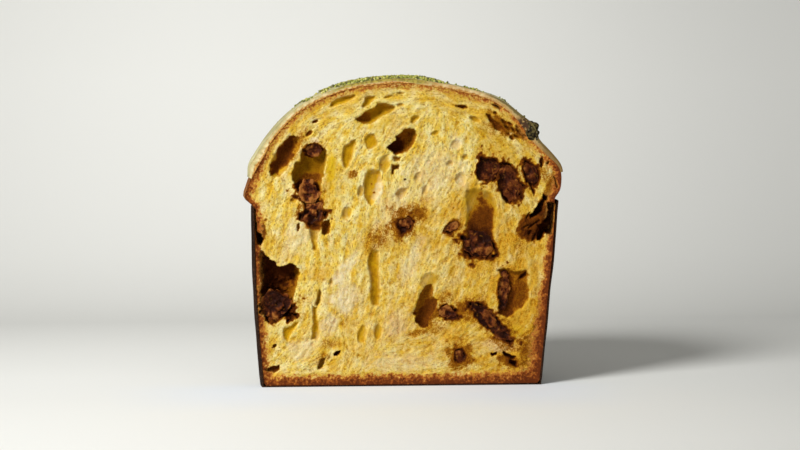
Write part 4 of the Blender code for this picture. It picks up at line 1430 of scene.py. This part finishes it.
def icosahedron():
    """Corners and faces of a twenty-sided body, one metre across."""
    bm = bmesh.new()
    bmesh.ops.create_icosphere(bm, subdivisions=1, radius=0.5)
    corners = np.array([vert.co for vert in bm.verts])
    faces = np.array([[vert.index for vert in face.verts] for face in bm.faces])
    bm.free()
    return corners, faces


def drawn_turns(draw, count):
    """Random turns, some of them mirrored, as 3 by 3 matrices."""
    made, _ = np.linalg.qr(draw.standard_normal((count, 3, 3)))
    return made


def scattered(draw, count, sizes, reach, thinness):
    """Places and normals on the glaze, thick near the middle and thin beyond the reach, and a size each."""
    corner, upward = outer_places[:, :-1], outer_places[:, 1:]
    right = np.roll(outer_places, -1, axis=0)[:, :-1]
    normals = np.cross(right - corner, upward - corner).reshape(-1, 3)
    areas = np.linalg.norm(normals, axis=1)
    normals /= np.maximum(areas, 1e-12)[:, None]
    flat = corner.reshape(-1, 3)
    from_middle = np.hypot(flat[:, 0] - SCATTER_MIDDLE[0], flat[:, 1] - SCATTER_MIDDLE[1])
    clumps = 0.75 + 0.5 * lumps(*flat.T, CLUMP_SIZE, 61)
    deeper = smoothstep(*BEHIND_CUT, flat[:, 1] - CUT_Y)
    share = (thinness + MORE_BEHIND * deeper) * smoothstep(*SCATTER_LOWEST, flat[:, 2])
    from_middle = from_middle / (1 + 0.3 * deeper * (1 + lumps(*flat.T, BARE_PATCH_SIZE, 63)))
    full_to, none_from = (edge * reach for edge in SCATTER_EDGE)
    share = np.maximum(share, 1 - smoothstep(full_to, none_from, from_middle))
    for across, behind, clump_reach, weight in CLUMPS:
        away = np.hypot(flat[:, 0] - across * MM, flat[:, 1] - CUT_Y - behind * MM) / (clump_reach * MM)
        share = np.maximum(share, weight * np.exp(-away ** 2))
    weights = areas * share
    weights *= np.clip(clumps, 0.1, None) * (flat[:, 1] > CUT_Y + CLEAR_OF_CUT)
    chosen = draw.choice(len(flat), size=count, p=weights / weights.sum())
    across = (right - corner).reshape(-1, 3)[chosen] * draw.random((count, 1))
    along = (upward - corner).reshape(-1, 3)[chosen] * draw.random((count, 1))
    spots = flat[chosen] + across + along
    spread = sizes[0] + (sizes[1] - sizes[0]) * draw.random(count) ** MOSTLY_SMALL
    return spots, normals[chosen], spread


draw = np.random.default_rng(12)
shard_corners, shard_faces = icosahedron()
places, normals, sizes = (
    np.concatenate(pair) for pair in zip(
        scattered(draw, CRUMB_COUNT, CRUMB_SIZE, SCATTER_REACH, CRUMBS_ELSEWHERE),
        scattered(draw, DUST_COUNT, DUST_SIZE, DUST_REACH, DUST_ELSEWHERE),
    )
)
count = len(places)
stretch = sizes[:, None] * (LEAST_STRETCH + MORE_STRETCH * draw.random((count, 3)))
bends = draw.standard_normal((count, len(shard_corners), 1)).clip(-MOST_BENDS, MOST_BENDS)
bent = shard_corners * (1 + BEND * bends)
shards = np.einsum("nij,nkj->nki", drawn_turns(draw, count), bent * stretch[:, None, :])
shards = shards + (places + normals * sizes[:, None] * STANDS_OFF_GLAZE)[:, None, :]
shards[..., 1] = np.maximum(shards[..., 1], CUT_Y - PAST_THE_KNIFE)
crumb_faces = (shard_faces + np.arange(count)[:, None, None] * len(shard_corners)).reshape(-1, 3)
shade = np.repeat(draw.random(count), len(shard_corners))
pistachios = new_piece("chopped_pistachios", shards.reshape(-1, 3), crumb_faces, {"shade": shade})
pistachios.data.shade_flat()
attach(pistachios, "root")
print("pistachio crumbs:", count, "triangles:", len(crumb_faces))

# %% The look of the pistachios
nut = Finish("pistachio")
grit = nut.noise(0.8 * MM)
shade = (nut.value("shade") + (grit - 0.5) * 0.35).between(0.0, 1.0)
pistachios.data.materials.append(nut.set(
    Base_Color=nut.ramp(
        shade,
        (0.0, (0.10, 0.085, 0.018)), (0.15, (0.14, 0.15, 0.018)), (0.5, (0.24, 0.26, 0.022)),
        (0.8, (0.38, 0.38, 0.045)), (1.0, (0.58, 0.52, 0.15)),
    ),
    Roughness=0.55 + grit * 0.2,
    Normal=nut.bump(grit, 0.2 * MM),
    Subsurface_Weight=0.1,
    Subsurface_Scale=0.8 * MM,
))
print("pistachio finish:", len(nut.tree.nodes), "nodes")

# %% [markdown]
# ## Baked chocolate
# The chocolate melted and set again in the oven, so its lumps are neither chips nor smooth drops: they are
# knobbly and pitted, and bind crumbs to their skin. Each starts as the same rough ball as its solid, with
# far more faces. It swells at random in the plane of the cut and is flattened where the knife passed, and
# then finer layers of noise are pushed into it along its normals.

# %% Baked chocolate
LUMPINESS = 0.18
LUMP_DEPTH_SHARE = 0.9
# How far each layer of knobs stands out, in millimetres, how wide its knobs are, and its seed.
KNOB_LAYERS = ((1.9, 5.5 * MM, 70), (0.9, 2.2 * MM, 75))
GRAINS_OUT = 0.3
GRAIN_SIZE = 0.9 * MM
PIT_DEPTH = 1.1 * MM
PIT_SIZE = 2.4 * MM
BOUND_CRUMB_SIZE = 1.8 * MM
SWELL_SHARE = 0.22
# A lump narrower than this gets smaller knobs.
FULL_KNOBS_FROM = 10 * MM
# A lump's middle lies this far behind its front, in millimetres.
MIDDLE_BEHIND = 0.5
# Lumps wider than this, in millimetres, get finer faces.
WIDE_LUMP = 12


def knobbly(name, size, place, tilt, seed, lumpiness, front, detail, paler=0.0, knobbliness=1.0):
    """A rough ball, flattened in front, with knobs and pits, turned in the plane of the cut."""
    bm = bmesh.new()
    bmesh.ops.create_icosphere(bm, subdivisions=detail, radius=0.5)
    shift = Vector((seed * 7.3, seed * 3.1, seed * 5.7))
    for vert in bm.verts:
        vert.co *= 1 + lumpiness * noise.noise(vert.co * 3.2 + shift)
    turn = Matrix.Rotation(-math.radians(tilt), 4, "Y")
    bm.transform(Matrix.Translation(place) @ turn @ Matrix.Diagonal((*size, 1)))
    bm.normal_update()
    co = np.array([vert.co for vert in bm.verts])
    normals = np.array([vert.normal for vert in bm.verts])
    faces = [[vert.index for vert in face.verts] for face in bm.faces]
    bm.free()
    x, y, z = co.T
    reach = knobbliness * min(1.0, min(size) / FULL_KNOBS_FROM)
    knobs = sum(out * reach * rough(x, y, z, wide, seed + layer, 2) for out, wide, layer in KNOB_LAYERS)
    knobs = (knobs + GRAINS_OUT * knobbliness * lumps(x, y, z, GRAIN_SIZE, seed + 80)) * MM
    pits = -PIT_DEPTH * reach * smoothstep(0.1, 0.7, lumps(x, y, z, PIT_SIZE, seed + 90))
    swells = SWELL_SHARE * min(size) * rough(x, y, z, 0.5 * min(size), seed + 60, 2)
    sideways = np.abs(normals[:, 1]) < 0.8
    co = co + normals * (swells * sideways)[:, None]
    co[:, 1] = np.maximum(co[:, 1], front)
    co = co + normals * (knobs + pits)[:, None]
    crumbs = smoothstep(0.35, 0.75, lumps(x, y, z, BOUND_CRUMB_SIZE, seed + 110))
    # Painted light and shade: the colour is lighter on knobs and darker in pits; paler adds the lump's own
    # tone.
    raised = smoothstep(-0.9 * MM, 1.2 * MM, knobs + pits) + paler
    return new_piece(name, co, faces, {"crumbs": crumbs, "raised": raised})


chocolates = []
for number, (across, up, width, height, tilt, behind, paler, knobbliness) in enumerate(CHOCOLATE, start=1):
    depth = 0.5 * (width + height) * LUMP_DEPTH_SHARE
    size = (width * MM, depth * MM, height * MM)
    front = CUT_Y + behind * MM
    place = Vector((MIDDLE_X + across * MM, CUT_Y + (behind + MIDDLE_BEHIND) * MM, up * MM))
    detail = 5 if width > WIDE_LUMP else 4
    name = f"chocolate_lump_{number:02d}"
    lump = knobbly(name, size, place, tilt, number, LUMPINESS, front, detail, paler, knobbliness)
    chocolates.append(lump)
    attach(lump, "root")
    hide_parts(f"chocolate_{number:02d}")
print("chocolate lumps:", len(chocolates))

# %% The look of the chocolate
BOUND_CRUMB = (0.40, 0.16, 0.012)

cocoa_look = Finish("baked_chocolate")
grit = cocoa_look.noise(1.3 * MM, detail=5, roughness=0.65)
bloom = cocoa_look.noise(4 * MM, detail=2)
# Painted light and shade from the knobs and pits, with grit, bloom and the lump's own paleness.
tint = cocoa_look.ramp(
    (grit * 0.5 + bloom * 0.2 + cocoa_look.value("raised") * 0.45).between(0.34, 0.84),
    (0.0, (0.018, 0.003, 0.0006)), (0.35, (0.065, 0.012, 0.002)),
    (0.7, (0.15, 0.037, 0.006)), (1.0, (0.33, 0.12, 0.022)),
)
chocolate_finish = cocoa_look.set(
    Base_Color=cocoa_look.layered(
        tint, (BOUND_CRUMB, cocoa_look.value("crumbs") * (grit - 0.46).between(0.0, 0.2) * 0.55)
    ),
    Roughness=0.34 + grit * 0.3,
    Normal=cocoa_look.bump(grit, 0.6 * MM),
    Specular_IOR_Level=0.07,
)
for lump in chocolates:
    lump.data.materials.append(chocolate_finish)
print("chocolate finish:", len(cocoa_look.tree.nodes), "nodes")

# %% [markdown]
# ## The roasted kernel
# One whole kernel sits in the glaze at the right shoulder, halved by the knife. Roasting has made its skin
# nearly black with a green cast, wrinkled, and dusted with pale specks of sugar.

# %% The roasted kernel
KERNEL_BEHIND = 2.4 * MM
KERNEL_SIZE = (8.0 * MM, 8.5 * MM, 12.0 * MM)
KERNEL_TILT = 14
KERNEL_SHIFT = Vector((2.0 * MM, 0, -0.8 * MM))
KERNEL_FRONT = CUT_Y - 0.6 * MM
KERNEL_LUMPINESS = 0.35
KERNEL_SEED = 31
SUGAR_WHITE = (0.75, 0.75, 0.66)

kernel_place = Vector((MIDDLE_X + KERNEL_AT[0], CUT_Y + KERNEL_BEHIND, KERNEL_AT[1])) + KERNEL_SHIFT
kernel = knobbly(
    "dark_kernel", KERNEL_SIZE, kernel_place, KERNEL_TILT, KERNEL_SEED, KERNEL_LUMPINESS, KERNEL_FRONT,
    detail=5, knobbliness=0.7,
)
skin = Finish("roasted_skin")
wrinkle = skin.noise(1.6 * MM, detail=4)
sugar = skin.noise(0.9 * MM, detail=1)
tint = skin.ramp(
    wrinkle.between(0.35, 0.7),
    (0.0, (0.008, 0.004, 0.002)), (0.5, (0.036, 0.026, 0.008)), (1.0, (0.12, 0.09, 0.030)),
)
kernel.data.materials.append(skin.set(
    Base_Color=skin.layered(tint, (SUGAR_WHITE, (sugar - 0.72).between(0.0, 0.04))),
    Roughness=0.45 + wrinkle * 0.3,
    Normal=skin.bump(wrinkle, 0.4 * MM),
    Specular_IOR_Level=0.1,
))
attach(kernel, "root")
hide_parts("roasted_kernel")
print("kernel at", [round(c, 3) for c in kernel_place])

# %% [markdown]
# ## The paper case
# The loaf was baked in a case of dark greaseproof paper: a fluted wall on a flat round base. The flutes are
# only half a millimetre deep and would do as a bump, but a raking light shows them along the rim, so they
# are modelled. They die out just above the base, where the wall is folded under it.

# %% The paper case
FLUTES = 168
FLUTE_SAMPLES = 8
FLUTE_SWING = 0.26 * MM
FLUTE_FADE = 5 * MM
CASE_STEPS = 7

case_angles = all_round(FLUTES * FLUTE_SAMPLES)
case_outside = case_rows(case_angles, CASE_STEPS)
case_inside = case_outside[:, ::-1] - (PAPER, 0)
case_inside[:, -1, 1] = PAPER
case_profile = np.concatenate([case_outside, case_inside], axis=1)
above_fold = smoothstep(0, FLUTE_FADE, case_profile[..., 1])
case_profile[..., 0] += FLUTE_SWING * np.cos(FLUTES * case_angles)[:, None] * above_fold
case_places, case_faces = turned_mesh(turned(case_profile, case_angles), 0, PAPER)
case_body, _ = sliced(case_places, case_faces, capped=True)
case = finished("paper_cup", case_body)
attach(case, "root")
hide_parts("paper_case")
print("paper case:", len(case.data.polygons), "faces, faults:", faults(case))

# %% The look of the paper
SCUFF_BROWN = (0.12, 0.045, 0.018)

paper = Finish("dark_paper")
pulp = paper.noise(1.2 * MM, detail=4, stretch=(1, 1, 2.5))
grease = paper.noise(22 * MM)
scuff = paper.noise(3.5 * MM, detail=4)
tint = paper.ramp(
    (pulp * 0.5 + grease * 0.5).between(0.3, 0.7),
    (0.0, (0.008, 0.003, 0.001)), (0.6, (0.018, 0.007, 0.003)), (1.0, (0.038, 0.016, 0.007)),
)
case.data.materials.append(paper.set(
    Base_Color=paper.layered(tint, (SCUFF_BROWN, (scuff - 0.62).between(0.0, 0.1) * 0.6)),
    Roughness=0.86 - grease * 0.2,
    Normal=paper.bump(pulp + scuff * 0.4, 0.12 * MM),
    Specular_IOR_Level=0.08,
))
torn = Finish("cut_paper_edge")
pulp = torn.noise(1.0 * MM, detail=4)
case.data.materials.append(torn.set(
    Base_Color=torn.ramp(pulp.between(0.35, 0.7), (0.0, (0.012, 0.005, 0.003)), (1.0, (0.07, 0.032, 0.016))),
    Roughness=0.8 + pulp * 0.1,
    Specular_IOR_Level=0.08,
    Normal=torn.bump(pulp, 0.3 * MM),
))
print("paper finishes:", len(paper.tree.nodes), "and", len(torn.tree.nodes), "nodes")

# %% [markdown]
# ## The studio
# The picture has a seamless pale sweep: a floor that curves up into a wall with no edge. A wall would hide
# the loaf from a camera behind it, so the sweep is seen on its front only: its back is clear, and the loaf
# can be looked at from every side.

# %% The sweep
SWEEP_HALF_WIDTH = 3.0
SWEEP_FRONT = -2.2
SWEEP_BACK = 0.30
SWEEP_RADIUS = 0.55
SWEEP_TOP = 2.6
SWEEP_BENDS = 24

line = [(SWEEP_FRONT, 0.0)]
for bend in range(SWEEP_BENDS + 1):
    turn = 0.5 * math.pi * bend / SWEEP_BENDS
    line.append((SWEEP_BACK + SWEEP_RADIUS * math.sin(turn), SWEEP_RADIUS * (1 - math.cos(turn))))
line.append((SWEEP_BACK + SWEEP_RADIUS, SWEEP_TOP))
sweep_places = [(x, y, z) for x in (-SWEEP_HALF_WIDTH, SWEEP_HALF_WIDTH) for y, z in line]
sweep_faces = [(n, len(line) + n, len(line) + n + 1, n + 1) for n in range(len(line) - 1)]
sweep = new_piece("studio_sweep", sweep_places, sweep_faces)
print("sweep:", len(sweep_faces), "faces")

# %% The look of the sweep
# Painted shade along the sweep's depth, darkest where the floor bends up: 0 is 0.35 m in front of the origin,
# and 1 is 1.1 m further back.
DEPTH_FROM = 0.35
DEPTH_SHARE = 0.9
PAINTED_SWEEP_SHADING = (
    (0.10, (0.72, 0.72, 0.686)), (0.24, (0.67, 0.67, 0.638)), (0.32, (0.665, 0.665, 0.634)),
    (0.43, (0.610, 0.610, 0.581)), (0.57, (0.520, 0.520, 0.495)), (0.76, (0.62, 0.62, 0.59)),
    (0.96, (0.69, 0.69, 0.657)),
)
# Painted light: the sweep is brightest in the middle and dimmer to the right, and painted bluish just before
# the loaf's foot, against the warm light that the loaf bounces on to the floor there.
BRIGHT_LEFT, BRIGHT_RIGHT = (-0.50, -0.08), (-0.04, 0.42)
DIMMER_RIGHT = (0.15, 0.7)
FOOT_LEFT, FOOT_RIGHT = (-0.19, -0.07), (0.06, 0.15)
FOOT_FRONT, FOOT_BACK = (0.17, 0.24), (0.25, 0.29)
PAINTED_BOUNCE_COOLING = (0.623, 0.657, 0.695)

backdrop = Finish("pale_backdrop")
cloud = backdrop.noise(0.6, detail=2)
far = (backdrop.place("Y") + DEPTH_FROM) * DEPTH_SHARE
sideways = backdrop.place("X")
# Painted light: a cool tint on the floor just before the foot, against the loaf's warm bounced light.
bounce_cooling_patch = far.band(FOOT_FRONT, FOOT_BACK) * sideways.band(FOOT_LEFT, FOOT_RIGHT)
shade = backdrop.layered(backdrop.ramp(far + cloud * 0.02, *PAINTED_SWEEP_SHADING), (PAINTED_BOUNCE_COOLING, bounce_cooling_patch))
# Painted light: brighter in the middle, dimmer to the right.
painted_light_pool = 1 + sideways.band(BRIGHT_LEFT, BRIGHT_RIGHT) * 0.18 - sideways.between(*DIMMER_RIGHT) * 0.05
sweep.data.materials.append(backdrop.set(
    Base_Color=backdrop.node("ShaderNodeVectorMath", {"operation": "SCALE"}, {0: shade, "Scale": painted_light_pool}),
    Roughness=0.8 + cloud * 0.1,
    Specular_IOR_Level=0.1,
))
one_way = backdrop.node(
    "ShaderNodeMixShader",
    sockets={
        0: backdrop.node("ShaderNodeNewGeometry", output="Backfacing"),
        1: Wire(backdrop, backdrop.surface.outputs[0]),
        2: backdrop.node("ShaderNodeBsdfTransparent"),
    },
)
backdrop.join(one_way, backdrop.tree.nodes["Material Output"].inputs["Surface"])
print("sweep finish:", len(backdrop.tree.nodes), "nodes")

# %% [markdown]
# ## The light
# One large soft light from the upper left and front makes the shading and the long shadow to the right. An
# even pale surround fills the shadows. Colours are shown as they are, without a film's curve.

# %% The light
KEY_FROM = Vector((-0.62, -0.55, 0.58))
KEY_DISTANCE = 1.9
KEY_SIZE = 0.7
KEY_WATTS = 9.4
KEY_SPREAD = math.radians(80)
KEY_AIM = Vector((-0.08, 0.25, 0.1))
LOAF_MIDDLE = Vector((0, 0, 0.09))
SURROUND_COLOUR = (1.0, 0.99, 0.97)
SURROUND_STRENGTH = 0.30

scene = bpy.context.scene
scene.view_settings.view_transform = "Standard"
key = linked("key_light", bpy.data.lights.new("key_light", "AREA"))
key.data.shape = "DISK"
key.data.size = KEY_SIZE
key.data.energy = KEY_WATTS
key.data.spread = KEY_SPREAD
key.location = LOAF_MIDDLE + KEY_FROM.normalized() * KEY_DISTANCE
key.rotation_euler = (key.location - KEY_AIM).to_track_quat("Z", "Y").to_euler()

world = bpy.data.worlds.new("studio_surround")
scene.world = world
world.use_nodes = True
surround = world.node_tree.nodes["Background"]
surround.inputs["Color"].default_value = (*SURROUND_COLOUR, 1)
surround.inputs["Strength"].default_value = SURROUND_STRENGTH
